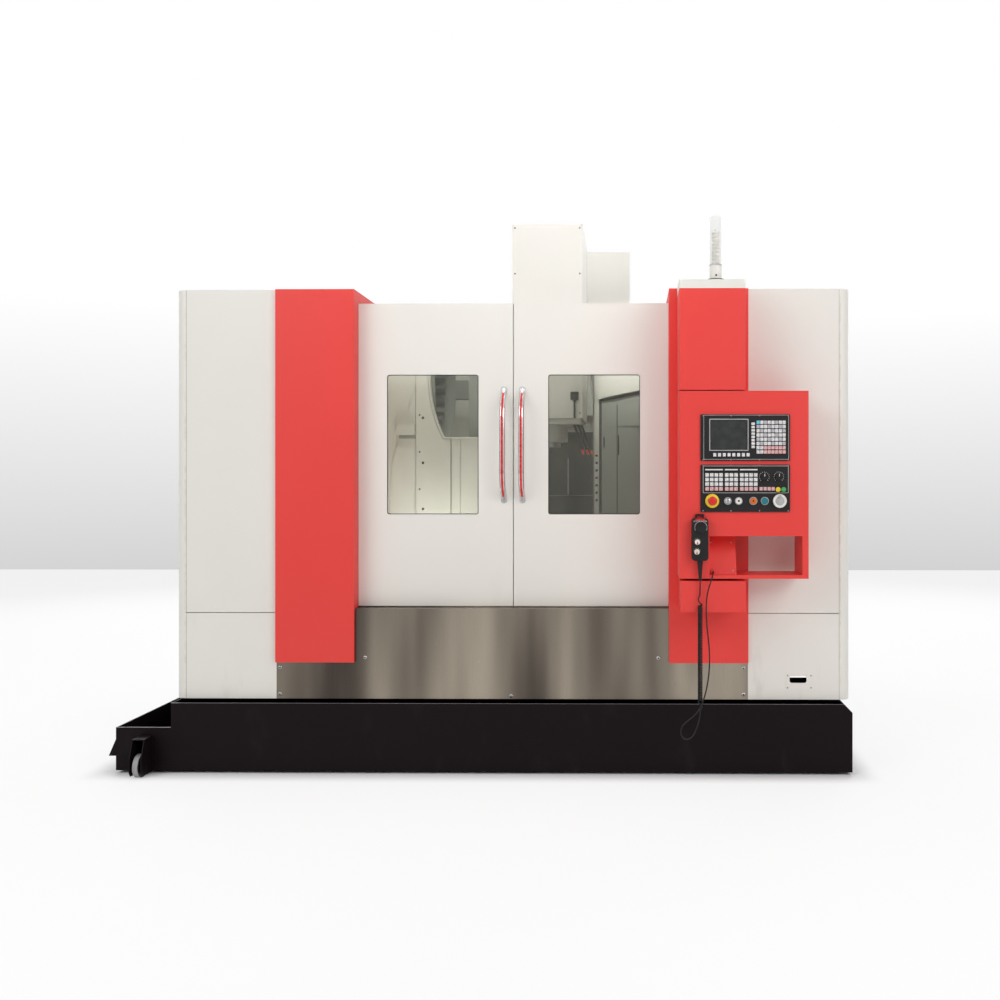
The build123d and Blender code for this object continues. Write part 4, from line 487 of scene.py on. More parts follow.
# %% Parts from Geometry Nodes
class Recipe(Graph):
    """A Geometry Nodes tree with named inputs, run on a cloud of points that know which way they face."""

    def __init__(self, name, inputs):
        super().__init__(bpy.data.node_groups.new(name, "GeometryNodeTree"))
        sockets = self.tree.interface
        sockets.new_socket("Geometry", in_out="INPUT", socket_type="NodeSocketGeometry")
        for label in inputs:
            kind = {"Material": "Material", "Count": "Int"}.get(label.split()[-1], "Float")
            sockets.new_socket(label, in_out="INPUT", socket_type="NodeSocket" + kind)
        sockets.new_socket("Geometry", in_out="OUTPUT", socket_type="NodeSocketGeometry")
        self.start = self.tree.nodes.new("NodeGroupInput")
        self.end = self.tree.nodes.new("NodeGroupOutput")

    def input(self, label):
        return Wire(self, self.start.outputs[label])

    def vector(self, x, y, z):
        return self.node("ShaderNodeCombineXYZ", {}, {0: x, 1: y, 2: z})

    def sow(self, shape, material):
        """Puts a shape on every point, turned to face outwards, as real mesh with a material."""
        facing = self.node("GeometryNodeInputNamedAttribute", {"data_type": "FLOAT_VECTOR"},
                           {"Name": "facing"})
        turn = self.node("FunctionNodeAlignRotationToVector", {"axis": "Z"}, {"Vector": facing})
        sown = self.node("GeometryNodeInstanceOnPoints", {},
                         {"Points": self.input("Geometry"), "Instance": shape, "Rotation": turn})
        real = self.node("GeometryNodeRealizeInstances", {}, {0: sown})
        return self.node("GeometryNodeSetMaterial", {}, {"Geometry": real, "Material": material})

    def close(self, *branches):
        joined = self.tree.nodes.new("GeometryNodeJoinGeometry")
        for branch in branches:
            self.feed(joined.inputs[0], branch)
        self.feed(self.end.inputs[0], Wire(self, joined.outputs[0]))
        return self


FRONT, BACK, LEFT, RIGHT = (0, -1, 0), (0, 1, 0), (-1, 0, 0), (1, 0, 0)


def cast(name, recipe, places, facing=FRONT, body="machine", **values):
    """Runs a recipe on drawing points and keeps the outcome as a plain mesh that rides on a body."""
    cloud = bpy.data.meshes.new(name + "_places")
    cloud.from_pydata([spot(*place) for place in places], [], [])
    way = cloud.attributes.new("facing", "FLOAT_VECTOR", "POINT")
    for entry in way.data:
        entry.vector = facing
    thing = bpy.data.objects.new(name, cloud)
    bpy.context.scene.collection.objects.link(thing)
    modifier = thing.modifiers.new("recipe", "NODES")
    modifier.node_group = recipe.tree
    for item in recipe.tree.interface.items_tree:
        if item.in_out == "INPUT" and item.name.replace(" ", "_") in values:
            modifier[item.identifier] = values[item.name.replace(" ", "_")]
    bpy.context.view_layer.update()
    grown = thing.evaluated_get(bpy.context.evaluated_depsgraph_get())
    mesh = bpy.data.meshes.new_from_object(grown)
    thing.modifiers.clear()
    thing.data = mesh
    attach(thing, body)
    print(name + ":", len(places), "places,", len(mesh.polygons), "faces")
    return thing


print("node tools ready")

# %% [markdown]
# ## Screws
# Dome-headed socket screws hold the apron, the plates and the covers. One recipe makes them all: a squashed
# ball for the dome, half sunk in the sheet, and a black six-sided disc on top: painted shade for the socket's
# recess. The recipe's inputs are the sizes a fitter would ask for, so small and large screws come from the
# same tree.

# %% Screw recipe
screw = Recipe("dome_screw", ["Radius", "Height", "Steel Material", "Socket Material"])
ball = screw.node("GeometryNodeMeshUVSphere", {}, {"Segments": 16, "Rings": 8, "Radius": 1.0})
flattened = screw.vector(screw.input("Radius"), screw.input("Radius"), screw.input("Height"))
dome = screw.node("GeometryNodeTransform", {}, {"Geometry": ball, "Scale": flattened})
SOCKET_SHARE, SOCKET_DEPTH_SHARE, SOCKET_PLACE_SHARE = 0.42, 0.25, 0.9
# The socket is a black hexagon standing proud of the dome: painted shade for the recess.
hexagon = screw.node("GeometryNodeMeshCylinder", {}, {
    "Vertices": 6, "Radius": screw.input("Radius") * SOCKET_SHARE,
    "Depth": screw.input("Height") * SOCKET_DEPTH_SHARE})
socket_hole = screw.node("GeometryNodeTransform", {}, {
    "Geometry": hexagon, "Translation": screw.vector(0.0, 0.0, screw.input("Height") * SOCKET_PLACE_SHARE)})
screw.close(screw.sow(dome, screw.input("Steel Material")),
            screw.sow(socket_hole, screw.input("Socket Material")))
SCREW_STEEL = {"Steel_Material": finishes["ground_steel"], "Socket_Material": finishes["black_plastic"]}
print("screw recipe:", len(screw.tree.nodes), "nodes")

# %% Screws in the apron, the access cover and the side walls
apron_screws = [(x, 0, z) for x, z in ((-1162, 521), (-1162, 388), (-735, 571), (-3, 380), (733, 571),
                                       (1158, 521), (1158, 390))]
cast("apron_screws", screw, apron_screws, Radius=0.0098, Height=0.0045, **SCREW_STEEL)
ACCESS_LEFT, ACCESS_WIDTH, ACCESS_FOOT, ACCESS_HEIGHT, ACCESS_FACE = -1480, 1060, 720, 1420, 2153
ACCESS_EDGE, ACCESS_COLUMNS, ACCESS_ROWS = 28, 5, 6
column_step = (ACCESS_WIDTH - 2 * ACCESS_EDGE) / (ACCESS_COLUMNS - 1)
row_step = (ACCESS_HEIGHT - 2 * ACCESS_EDGE) / (ACCESS_ROWS - 1)
access_x = [ACCESS_LEFT + ACCESS_EDGE + column * column_step for column in range(ACCESS_COLUMNS)]
access_z = [ACCESS_FOOT + ACCESS_EDGE + row * row_step for row in range(ACCESS_ROWS)]
access_screws = [(x, ACCESS_FACE, z) for x in access_x for z in (access_z[0], access_z[-1])]
access_screws += [(x, ACCESS_FACE, z) for x in (access_x[0], access_x[-1]) for z in access_z[1:-1]]
cast("access_cover_screws", screw, access_screws, BACK, Radius=0.008, Height=0.0036, **SCREW_STEEL)
WALL_FACE = 1690
for side, facing, where in ((-1, LEFT, "left"), (1, RIGHT, "right")):
    service_screws = [(side * WALL_FACE, y, z) for y in (668, 1120, 1572) for z in (990, 2112)]
    cast("service_screws_" + where, screw, service_screws, facing, Radius=0.008, Height=0.0017, **SCREW_STEEL)

# %% [markdown]
# ## Keys
# The control's membrane keys are low caps with round corners and sloped sides. A key is a filled, rounded
# outline pulled up into a cap whose top is scaled in. The caps sit over the plain key blocks of the solid,
# a shade larger, so the block doesn't show. The keys of one field and colour are one cast.

# %% Key recipe
KEY_CORNER, KEY_TOP_SHARE, WELD = 0.0022, 0.88, 0.00001
key = Recipe("membrane_key", ["Width", "Height", "Depth", "Cap Material"])
outline = key.node("GeometryNodeCurvePrimitiveQuadrilateral", {},
                   {"Width": key.input("Width"), "Height": key.input("Height")})
soft_outline = key.node("GeometryNodeFilletCurve", {"mode": "POLY"},
                        {"Curve": outline, "Count": 3, "Radius": KEY_CORNER})
base = key.node("GeometryNodeFillCurve", {"mode": "NGONS"}, {"Curve": soft_outline})
raised = key.tree.nodes.new("GeometryNodeExtrudeMesh")
key.feed(raised.inputs["Mesh"], base)
key.feed(raised.inputs["Offset Scale"], key.input("Depth"))
walls, top = Wire(key, raised.outputs["Mesh"]), Wire(key, raised.outputs["Top"])
cap = key.node("GeometryNodeScaleElements", {"domain": "FACE"},
               {"Geometry": walls, "Selection": top, "Scale": KEY_TOP_SHARE})
floor_side = key.node("GeometryNodeFlipFaces", {}, {"Mesh": base})
shell = key.tree.nodes.new("GeometryNodeJoinGeometry")
key.feed(shell.inputs[0], cap)
key.feed(shell.inputs[0], floor_side)
welded = key.node("GeometryNodeMergeByDistance", {},
                  {"Geometry": Wire(key, shell.outputs[0]), "Distance": WELD})
key.close(key.sow(welded, key.input("Cap Material")))
print("key recipe:", len(key.tree.nodes), "nodes")


# %% Key colours, with the grey blur that printed legends make from a few steps away
def key_plastic(name, colour, print_strength=0.5):
    finish = Finish(name, 0.45)
    legend = finish.ramp(finish.noise(260.0, 1.0), 0.52, 0.62) * print_strength
    finish.set("Base Color", finish.blend(legend, colour, seen(0.42, 0.42, 0.43)))
    finish.bump(finish.noise(900.0), 0.00003)
    return finish.material


white_key = key_plastic("white_key", seen(0.93, 0.92, 0.92))
grey_key = key_plastic("grey_key", seen(0.78, 0.77, 0.79))
pink_key = key_plastic("pink_key", seen(0.93, 0.72, 0.72))
cyan_key = key_plastic("cyan_key", seen(0.45, 0.8, 0.9), 0.2)
print("key colours: 4")

# %% Places of the keys
UNIT_FACE = -258
SOFT_KEY_X, SOFT_KEY_Z, SOFT_KEY_STEP, SOFT_KEY_COUNT = 993, 1578.5, 22.5, 8
SIDE_KEY_X, SIDE_KEY_Z, SIDE_KEY_STEP, SIDE_KEY_COUNT = 1174.5, 1616, 15.6, 8
PAD_X, PAD_Z, PAD_STEP_X, PAD_STEP_Z, PAD_COUNT = 1198, 1592, 17.5, 20, 8
BLOCK_TOP, BLOCK_STEP, BLOCK_ROWS = 1483, 21.8, 4
BLOCK_STARTS = ((957, 4), (1050, 3), (1121, 4))
SPARE_X, SPARE_Z, SPARE_STEP, SPARE_COUNT = 1212, 1417.6, 19, 4
soft_keys = [(SOFT_KEY_X + column * SOFT_KEY_STEP, UNIT_FACE, SOFT_KEY_Z) for column in range(SOFT_KEY_COUNT)]
side_keys = [(SIDE_KEY_X, UNIT_FACE, SIDE_KEY_Z + row * SIDE_KEY_STEP) for row in range(SIDE_KEY_COUNT)]
pad = {(column, row): (PAD_X + column * PAD_STEP_X, UNIT_FACE, PAD_Z + row * PAD_STEP_Z)
       for column in range(PAD_COUNT) for row in range(PAD_COUNT)}
pad_top_left = (0, PAD_COUNT - 1)
pad_pink = [place for (column, row), place in pad.items() if row < 2 and column > 1]
pad_grey = [place for (column, row), place in pad.items() if row >= 2 and (column + row) % 3 == 0]
pad_white = [place for where, place in pad.items()
             if where != pad_top_left and place not in pad_pink and place not in pad_grey]
block_rows = [[(start + column * BLOCK_STEP, UNIT_FACE, BLOCK_TOP - row * BLOCK_STEP)
               for start, count in BLOCK_STARTS for column in range(count)] for row in range(BLOCK_ROWS)]
block_white = [place for row in block_rows[:-1] for place in row]
spare_keys = [(SPARE_X + column * SPARE_STEP, UNIT_FACE, SPARE_Z) for column in range(SPARE_COUNT)]
print("keys on the pad:", len(pad), "and in the blocks:", sum(len(row) for row in block_rows))

# %% Lay the keys
KEY_DEPTH, SPARE_DEPTH = 0.0034, 0.0024
PAD_KEY, SIDE_KEY = (0.0156, 0.0166, KEY_DEPTH), (0.0166, 0.0122, KEY_DEPTH)
BLOCK_KEY, SPARE_KEY = (0.0178, 0.0178, KEY_DEPTH), (0.0158, 0.0168, SPARE_DEPTH)
for name, places, colour, (width, height, depth) in (
        ("screen_soft_keys", soft_keys, white_key, PAD_KEY),
        ("screen_side_keys", side_keys, white_key, SIDE_KEY),
        ("pad_white_keys", pad_white, white_key, PAD_KEY), ("pad_grey_keys", pad_grey, grey_key, PAD_KEY),
        ("pad_pink_keys", pad_pink, pink_key, PAD_KEY),
        ("pad_cyan_key", [pad[pad_top_left]], cyan_key, PAD_KEY),
        ("block_white_keys", block_white, white_key, BLOCK_KEY),
        ("block_pink_keys", block_rows[-1], pink_key, BLOCK_KEY),
        ("override_keys", spare_keys, pink_key, SPARE_KEY)):
    cast(name, key, places, Cap_Material=colour, Width=width, Height=height, Depth=depth)

# %% [markdown]
# ## Dial marks
# The two override knobs, the handset's wheel and its selectors are read against short white strokes.
# One recipe places a stroke at each step of an arc, turns it to point at the middle and lays the whole
# scale on its point. Count, radius and stroke length are inputs, so a fine wheel and a coarse knob share it.

# %% Dial recipe
dial = Recipe("dial_marks", ["Mark Count", "Ring", "Stroke", "Weight", "First Angle", "Step Angle",
                             "Paint Material"])
marks = dial.node("GeometryNodePoints", {}, {"Count": dial.input("Mark Count")})
index = dial.node("GeometryNodeInputIndex")
angle = dial.input("First Angle") + index * dial.input("Step Angle")
sine = dial.node("ShaderNodeMath", {"operation": "SINE"}, {0: angle})
cosine = dial.node("ShaderNodeMath", {"operation": "COSINE"}, {0: angle})
around = dial.vector(sine * dial.input("Ring"), cosine * dial.input("Ring"), 0.0)
placed_marks = dial.node("GeometryNodeSetPosition", {}, {"Geometry": marks, "Position": around})
stroke = dial.node("GeometryNodeMeshCube", {}, {
    "Size": dial.vector(dial.input("Weight"), dial.input("Stroke"), dial.input("Weight"))})
lean = dial.node("FunctionNodeEulerToRotation", {}, {0: dial.vector(0.0, 0.0, 0.0 - angle)})
scale_ring = dial.node("GeometryNodeInstanceOnPoints", {},
                       {"Points": placed_marks, "Instance": stroke, "Rotation": lean})
dial.close(dial.sow(scale_ring, dial.input("Paint Material")))
WHITE_MARKS = {"Paint_Material": finishes["white_plastic"], "Weight": 0.0013}
HALF_SWEEP, OVERRIDE_MARKS = math.radians(135), 13
FEED_X, SPINDLE_X, KNOB_Z = 1227, 1296, 1474
override_centres = [(x, UNIT_FACE, KNOB_Z) for x in (FEED_X, SPINDLE_X)]
cast("override_scales", dial, override_centres, Mark_Count=OVERRIDE_MARKS, Ring=0.0225, Stroke=0.0055,
     First_Angle=-HALF_SWEEP, Step_Angle=2 * HALF_SWEEP / (OVERRIDE_MARKS - 1), **WHITE_MARKS)
print("dial recipe:", len(dial.tree.nodes), "nodes")

# %% [markdown]
# ## The control's face
# Two black units carry the screen and the operator's keys. What makes them read as a control is the thin
# light lines round the screen and the key fields, the yellow collar under the stop button, the rings of the
# buttons, and the small bright screws along their edges. The lines and rings are bezels and turned parts.

# %% Lines round the screen and the key fields
LINE_BACK, STRIP_FRONT = -257.6, -261.2
finishes["screen_glass"] = moulding("dark_screen_glass", seen(0.11, 0.115, 0.12), seen(0.17, 0.18, 0.18),
                                    0.14, 30.0, 0.00002)
plate("screen_glass", (974, 1146, 1604, 1742), 2, -255.2, -256, "screen_glass", inset=1, crown=0.4)
for name, box, width, front in (("screen_line", (967, 1153, 1597, 1749), 5, -259.4),
                                ("display_line", (940, 1343, 1556, 1767), 2.4, -258.8),
                                ("key_field_line", (937, 1342, 1397, 1527), 3, -258.9)):
    bezel(name, box, 3, width, front, LINE_BACK, "grey_plastic")
for number, (low, high) in enumerate(((948, 1031), (1041, 1102), (1112, 1195)), 1):
    plate("indicator_strip_%d" % number, (low, high, 1505, 1511), 1, LINE_BACK, STRIP_FRONT, "white_plastic")
print("control lines: 7")

# %% Collars and rings of the push buttons
BUTTON_Z, STOP_X, WHITE_X, ORANGE_X, TEAL_X = 1360, 981, 1106, 1175, 1229
RING_FOOT, RING_SIDES, RING_GAP, RING_WIDTH = -260.7, 36, 0.6, 4.2
turned("stop_collar", (STOP_X, -260.6, BUTTON_Z), FRONT,
       [(12, 0), (33, 0), (33, 1.6), (29, 4.2), (18, 5.6), (12, 5.6)], "yellow_plastic", sides=48)
ring_angles = [math.tau * side / RING_SIDES for side in range(RING_SIDES)]
for button, button_x, cap_radius in (("white", WHITE_X, 14), ("orange", ORANGE_X, 15), ("teal", TEAL_X, 15)):
    inner = cap_radius + RING_GAP
    outer = cap_radius + RING_WIDTH
    profile = [(inner, 0), (outer, 0), (outer, 1.2), (outer - 1.4, 2.6), (inner, 2.6)]
    loops = [[(button_x + radius * math.cos(angle), RING_FOOT - along, BUTTON_Z + radius * math.sin(angle))
              for angle in ring_angles] for radius, along in profile]
    piece("ring_of_" + button, loops, "grey_plastic", ring=True, smooth=True)
for colour, lamp_x in (("yellow", 1292), ("green", 1318)):
    turned(colour + "_lamp_button", (lamp_x, -260.5, 1414), FRONT,
           [(11.8, 0), (11.8, 1.6), (10.6, 2.8), (6, 3.4)], colour + "_plastic")
print("collars and rings: 6")

# %% Faces of the buttons, the key switch and the handwheel
KEY_SWITCH_X, WHEEL_X = 1054, 1299
turned("stop_button_crown", (STOP_X, -283.8, BUTTON_Z), FRONT,
       [(20.9, -6), (20.9, 0.6), (19, 2.6), (13, 4.0), (6, 4.4)], "red_plastic", "estop_button", 48)
turned("white_button_dot", (WHITE_X, -267.6, BUTTON_Z), FRONT, [(5, 0), (5, 0.9), (3.6, 1.2)],
       "black_plastic", "white_button")
turned("orange_button_dot", (ORANGE_X, -267.6, BUTTON_Z), FRONT, [(4, 0), (4, 0.9), (3, 1.2)],
       "black_plastic", "orange_button")
turned("key_barrel", (KEY_SWITCH_X, -267, BUTTON_Z), FRONT, [(12.5, 0), (12.5, 1.4), (11, 2.4), (4, 2.6)],
       "chrome", "key_switch")
turned("handwheel_dish", (WHEEL_X, -272, BUTTON_Z), FRONT,
       [(31.8, 0), (32.2, 1.6), (30, 2.6), (27, 1.4), (24, 0.9), (4, 0.7)], "white_plastic",
       "panel_handwheel", 56)
turned("handwheel_face", (WHEEL_X, -272.4, BUTTON_Z), FRONT, [(21, 0), (21, 1.2), (19.5, 1.7), (4, 1.7)],
       "grey_plastic", "panel_handwheel", 48)
print("button faces: 6")

# %% Knobs with a ribbed skirt, a pointer, and the small screws of both units
KNOB_FOOT, RIBS, RIB_HEIGHT, POINTER_HALF = -258.3, 60, 0.5, 1.3
for knob_body, knob_x in (("feed_knob", FEED_X), ("spindle_knob", SPINDLE_X)):
    skirt = []
    for radius, along in ((16.9, 0), (16.9, 5), (15.2, 6.5), (15.2, 17.6), (13.4, 19.2)):
        rim = [(radius + RIB_HEIGHT * (side % 2), math.tau * side / RIBS) for side in range(RIBS)]
        skirt.append([(knob_x + reach * math.cos(angle), KNOB_FOOT - along, KNOB_Z + reach * math.sin(angle))
                      for reach, angle in rim])
    piece(knob_body + "_skirt", skirt, "black_plastic", knob_body)
    pointer_box = (knob_x - POINTER_HALF, knob_x + POINTER_HALF, 1476, 1488)
    plate(knob_body + "_pointer", pointer_box, 0.6, -276.8, -278, "white_plastic", knob_body)
edge_screws = [(x, UNIT_FACE, z) for x in (938, 1070, 1205, 1340) for z in (1763.5, 1554.5, 1527, 1313)]
cast("unit_screws", screw, edge_screws, Radius=0.0032, Height=0.0016, **SCREW_STEEL)

# %% [markdown]
# ## The handset
# The pendant has a small tinted display in its nose, a wheel with a scale of thirty steps round it, and two
# selectors with white caps and red arrows. Each cap rides on its own body and turns with the solid under it.

# %% Handset face
HANDSET_FACE, HANDSET_WHEEL_X, HANDSET_WHEEL_Z = -297, 925, 1236
WHEEL_SWEEP, WHEEL_MARKS = math.radians(230), 31
SELECTOR_STEP, SELECTOR_MARKS = math.radians(25), 7
bezel("handset_nose_line", (890, 953, 1262, 1267), 1.5, 1.2, -298.2, -296.6, "chrome")
plate("handset_display", (900, 944, 1268.5, 1277.5), 2, -296.4, -297.4, "red_plastic", inset=1, crown=0.4)
wheel_centre = (HANDSET_WHEEL_X, HANDSET_FACE, HANDSET_WHEEL_Z)
cast("handset_scale", dial, [wheel_centre], Mark_Count=WHEEL_MARKS, Ring=0.0288, Stroke=0.0044,
     First_Angle=-WHEEL_SWEEP / 2, Step_Angle=WHEEL_SWEEP / (WHEEL_MARKS - 1), **WHITE_MARKS)
for selector_body, x, z in (("axis_selector", 908, 1168), ("step_selector", 906, 1122)):
    turned(selector_body + "_cap", (x, -308.6, z), FRONT, [(12.7, -4), (12.7, 0.6), (11, 1.6), (5, 1.9)],
           "white_plastic", selector_body)
    arrow = [[(x - 4.2, y, z - 11), (x + 4.2, y, z - 11), (x, y, z + 3)] for y in (-309.6, -311.2)]
    piece(selector_body + "_arrow", arrow, "red_plastic", selector_body)
    cast(selector_body + "_scale", dial, [(x, HANDSET_FACE, z)], Mark_Count=SELECTOR_MARKS, Ring=0.0164,
         Stroke=0.003, First_Angle=-SELECTOR_STEP * (SELECTOR_MARKS - 1) / 2, Step_Angle=SELECTOR_STEP,
         **WHITE_MARKS)
print("handset dressed")

# %% [markdown]
# ## Doors
# Each door has a chromed bow handle with a wide shell and a red inlay along its front, and a thin black seal
# where the pane meets the opening. The inlay follows the handle's own bend: an arc, a straight and the same
# arc mirrored. It is a low strip, made as a row of small loops, so that it keeps its width round the bend.

# %% Handle shells, inlays and pane seals
HANDLE_MIDDLE, HANDLE_STRAIGHT_HALF = 1638.5, 131.1
BEND_CENTRE_Y, BEND_RADIUS = 154, 160
SHELL_HALF, SHELL_DEPTH, SHELL_SIDES = 15, 12, 14
SHELL_SWEEP = math.radians(200)
INLAY_HALF, INLAY_PROUD, INLAY_EDGE = 5.6, 0.9, 1
BEND_ANGLE = math.radians(55)
BEND_STEPS = 14
HANDLE_X = 47
PANE_INNER, PANE_OUTER, PANE_FOOT, PANE_TOP = 177, 642, 1286, 1995


def inlay_line():
    """Places along the front of the bar, each with the direction that points out of it."""
    line = []
    for end in (1, -1):
        steps = range(BEND_STEPS, -1, -1) if end == 1 else range(BEND_STEPS + 1)
        for step in steps:
            angle = BEND_ANGLE * step / BEND_STEPS
            out = Vector((0, -math.cos(angle), end * math.sin(angle)))
            centre = Vector((0, BEND_CENTRE_Y, HANDLE_MIDDLE + end * HANDLE_STRAIGHT_HALF))
            line.append((centre + out * BEND_RADIUS, out))
    return line


across = Vector((1, 0, 0))
shell_angles = [SHELL_SWEEP * (step / SHELL_SIDES - 0.5) for step in range(SHELL_SIDES + 1)]
inlay_section = ((-INLAY_HALF, -INLAY_EDGE), (INLAY_EDGE - INLAY_HALF, INLAY_PROUD),
                 (INLAY_HALF - INLAY_EDGE, INLAY_PROUD), (INLAY_HALF, -INLAY_EDGE))
for side, where in ((-1, "left"), (1, "right")):
    shell, inlay = [], []
    for place, out in inlay_line():
        middle = place + across * side * HANDLE_X
        shell.append([middle + across * SHELL_HALF * math.sin(angle) + out * SHELL_DEPTH * math.cos(angle)
                      for angle in shell_angles])
        inlay.append([middle + across * x + out * (SHELL_DEPTH + rise) for x, rise in inlay_section])
    piece("handle_shell_" + where, shell, "chrome", "door_" + where, smooth=True)
    piece("handle_inlay_" + where, inlay, "red_plastic", "door_" + where)
    near, far = sorted((side * PANE_INNER, side * PANE_OUTER))
    bezel("pane_seal_" + where, (near, far, PANE_FOOT, PANE_TOP), 12, 4, 72.6, 75.4, "black_plastic",
          "door_" + where)
print("handles inlaid, panes sealed")

# %% [markdown]
# ## Signal lamp and plates
# A clear tube on a pale foot holds a stack of light rings: one turned part with a wavy profile. The leaning
# plate in the shelf, where the cord comes out, and the finger plate low on the right panel are screwed on.

# %% Signal lamp
UP, DOWN = (0, 0, 1), (0, 0, -1)
LAMP_X, LAMP_Y, LAMP_RINGS, LAMP_RING_FOOT, LAMP_RING_STEP = 1003, -190, 9, 2493, 18
lamp_axis = (LAMP_X, LAMP_Y, 0)
wave = []
for ring in range(LAMP_RINGS):
    foot = LAMP_RING_FOOT + ring * LAMP_RING_STEP
    wave += [(15, foot), (18.5, foot + 2), (18.5, foot + 13), (15, foot + 15)]
turned("lamp_light_rings", lamp_axis, UP, wave, "white_plastic")
seal_profile = [(20, 2417), (43, 2417), (44, 2418.5), (43, 2420), (20, 2420)]
turned("lamp_foot_seal", lamp_axis, UP, seal_profile, "black_plastic", sides=48)
collar_profile = [(20, 2486), (30.2, 2486), (30.2, 2492), (20, 2492)]
turned("lamp_tube_collar", lamp_axis, UP, collar_profile, "grey_plastic", sides=48)
turned("lamp_foot_screw", (LAMP_X, LAMP_Y - 29, 2437), FRONT, [(4.5, -1), (4.5, 1.4), (3, 2.2)],
       "black_plastic", sides=16)
print("lamp rings:", LAMP_RINGS)

# %% Screws of the leaning plate and the finger plate
PLATE_DEPTH, PLATE_RISE, PLATE_FOOT_Y, PLATE_FOOT_Z = 80, 185, -214, 1008
PLATE_FACING = (0, -0.918, 0.397)
FINGER_X, FINGER_Z, FINGER_FACE = 1435.5, 455, -3


def on_leaning_plate(x, z):
    """A place on the plate's face, which leans back from its foot."""
    return (x, PLATE_FOOT_Y + (z - PLATE_FOOT_Z) * PLATE_DEPTH / PLATE_RISE, z)


plate_screws = [on_leaning_plate(x, z) for x, z in ((981, 1160), (1080, 1160), (1083, 1026))]
cast("leaning_plate_screws", screw, plate_screws, PLATE_FACING, Radius=0.0048, Height=0.0024, **SCREW_STEEL)
finger_screws = [(FINGER_X + x, FINGER_FACE, FINGER_Z + z) for x in (-58, 58) for z in (-30, 30)]
cast("finger_plate_screws", screw, finger_screws, Radius=0.004, Height=0.0018, **SCREW_STEEL)

# %% [markdown]
# ## In the work area
# Behind the right window the coolant arms hang beside the spindle nose. They are chains of small ball joints,
# so their outline is a row of bulges: a turned part does that in one go. Red and orange tips close them. A
# small sensor box with a rigid conduit sits on the front of the head's cover. All of it rides with the head.

# %% Coolant arms
ARM_LINKS, LINK, ARM_SIDES = 10, 15.6, 20
ARM_TIP = ((7.6, -2), (8.4, 3), (7.2, 8), (4.2, 26), (3.4, 27))
ARMS = (((262, 935, 1791), (308, 915, 1640), "red_plastic"),
        ((284, 955, 1791), (337, 930, 1638), "red_plastic"),
        ((300, 985, 1791), (362, 950, 1634), "orange_plastic"))
chain = [(11, -1), (11, 4)]
for foot in [link * LINK for link in range(ARM_LINKS)]:
    chain += [(6.2, foot + 4), (8.6, foot + 7), (8.9, foot + 13), (6.6, foot + 18)]
for number, (start, end, tip_finish) in enumerate(ARMS, 1):
    way = Vector(end) - Vector(start)
    tip = [(radius, way.length + along) for radius, along in ARM_TIP]
    turned("coolant_arm_%d" % number, start, way, chain, "black_plastic", "head", ARM_SIDES)
    turned("coolant_tip_%d" % number, start, way, tip, tip_finish, "head", ARM_SIDES)
print("coolant arms:", len(ARMS))

# %% Sensor box and its conduit on the head's cover
COVER_FACE = 800
plate("sensor_box", (247, 294, 1926, 1973), 3, COVER_FACE + 0.4, 778, "black_plastic", "head",
      inset=2, crown=2)
turned("sensor_conduit", (270, 791, 1926), DOWN, [(8, -2), (8, 8), (5.4, 10), (5.4, 96), (7, 98), (7, 104)],
       "black_plastic", "head", 20)
cover_screws = [(x, COVER_FACE, z) for x in (-76, 300) for z in (1850, 2100, 2380, 2660, 2925)]
cast("head_cover_screws", screw, cover_screws, body="head", Radius=0.006, Height=0.0028, **SCREW_STEEL)

# %% [markdown]
# ## Sheets behind the windows
# The guards are not one flat wall: cover sheets are screwed on, edges are folded, and the opening for the
# tool changer has a bright rim. Each sheet is an outline pulled a few millimetres out of the guard behind it,
# which is enough for the light to draw its edges through the pane.

# %% Sheets on the tool changer's guard
GUARD_FACE, OPENING_X, OPENING_Z, OPENING_RADIUS, OPENING_TOP = 600, 274, 2050, 800, 2325
SINK = 0.3


def sheet(name, outline, proud, face, finish="white_paint", body="machine"):
    """An outline of x and z pairs, pulled forward out of a face."""
    return piece(name, [[(x, y, z) for x, z in outline] for y in (face + SINK, face - proud)], finish, body)


def upright(x0, x1, z0, z1):
    """The corners of a plain sheet."""
    return [(x0, z0), (x1, z0), (x1, z1), (x0, z1)]


def opening_edge(offset, top, bottom, steps=18):
    """Places down the round side of the opening, a little outside it."""
    radius = OPENING_RADIUS + offset
    heights = [top + (bottom - top) * step / steps for step in range(steps + 1)]
    return [(OPENING_X - math.sqrt(radius ** 2 - (z - OPENING_Z) ** 2), z) for z in heights]


cover_outline = [(-606, 1240), (-606, OPENING_TOP)] + opening_edge(14, OPENING_TOP, 1690)
cover_outline += [(-413, 1690), (-413, 1240)]
rim_outline = opening_edge(1, OPENING_TOP, 1702) + [(-205, 1702), (-205, 1694)]
rim_outline += opening_edge(9, 1694, OPENING_TOP)
ledge_outline = [(-722, 1714), (-609, 1714), (-609, 1770), (-700, 1770)]
gusset_outline = [(-682, 1772), (-609, 1772), (-609, 1960)]
lower_outline = [(-757, 1245), (-609, 1245), (-609, 1712), (-694, 1712), (-742, 1560)]
ledge_shadow_outline = [(-702, 1694), (-610, 1694), (-610, 1713), (-705, 1713)]
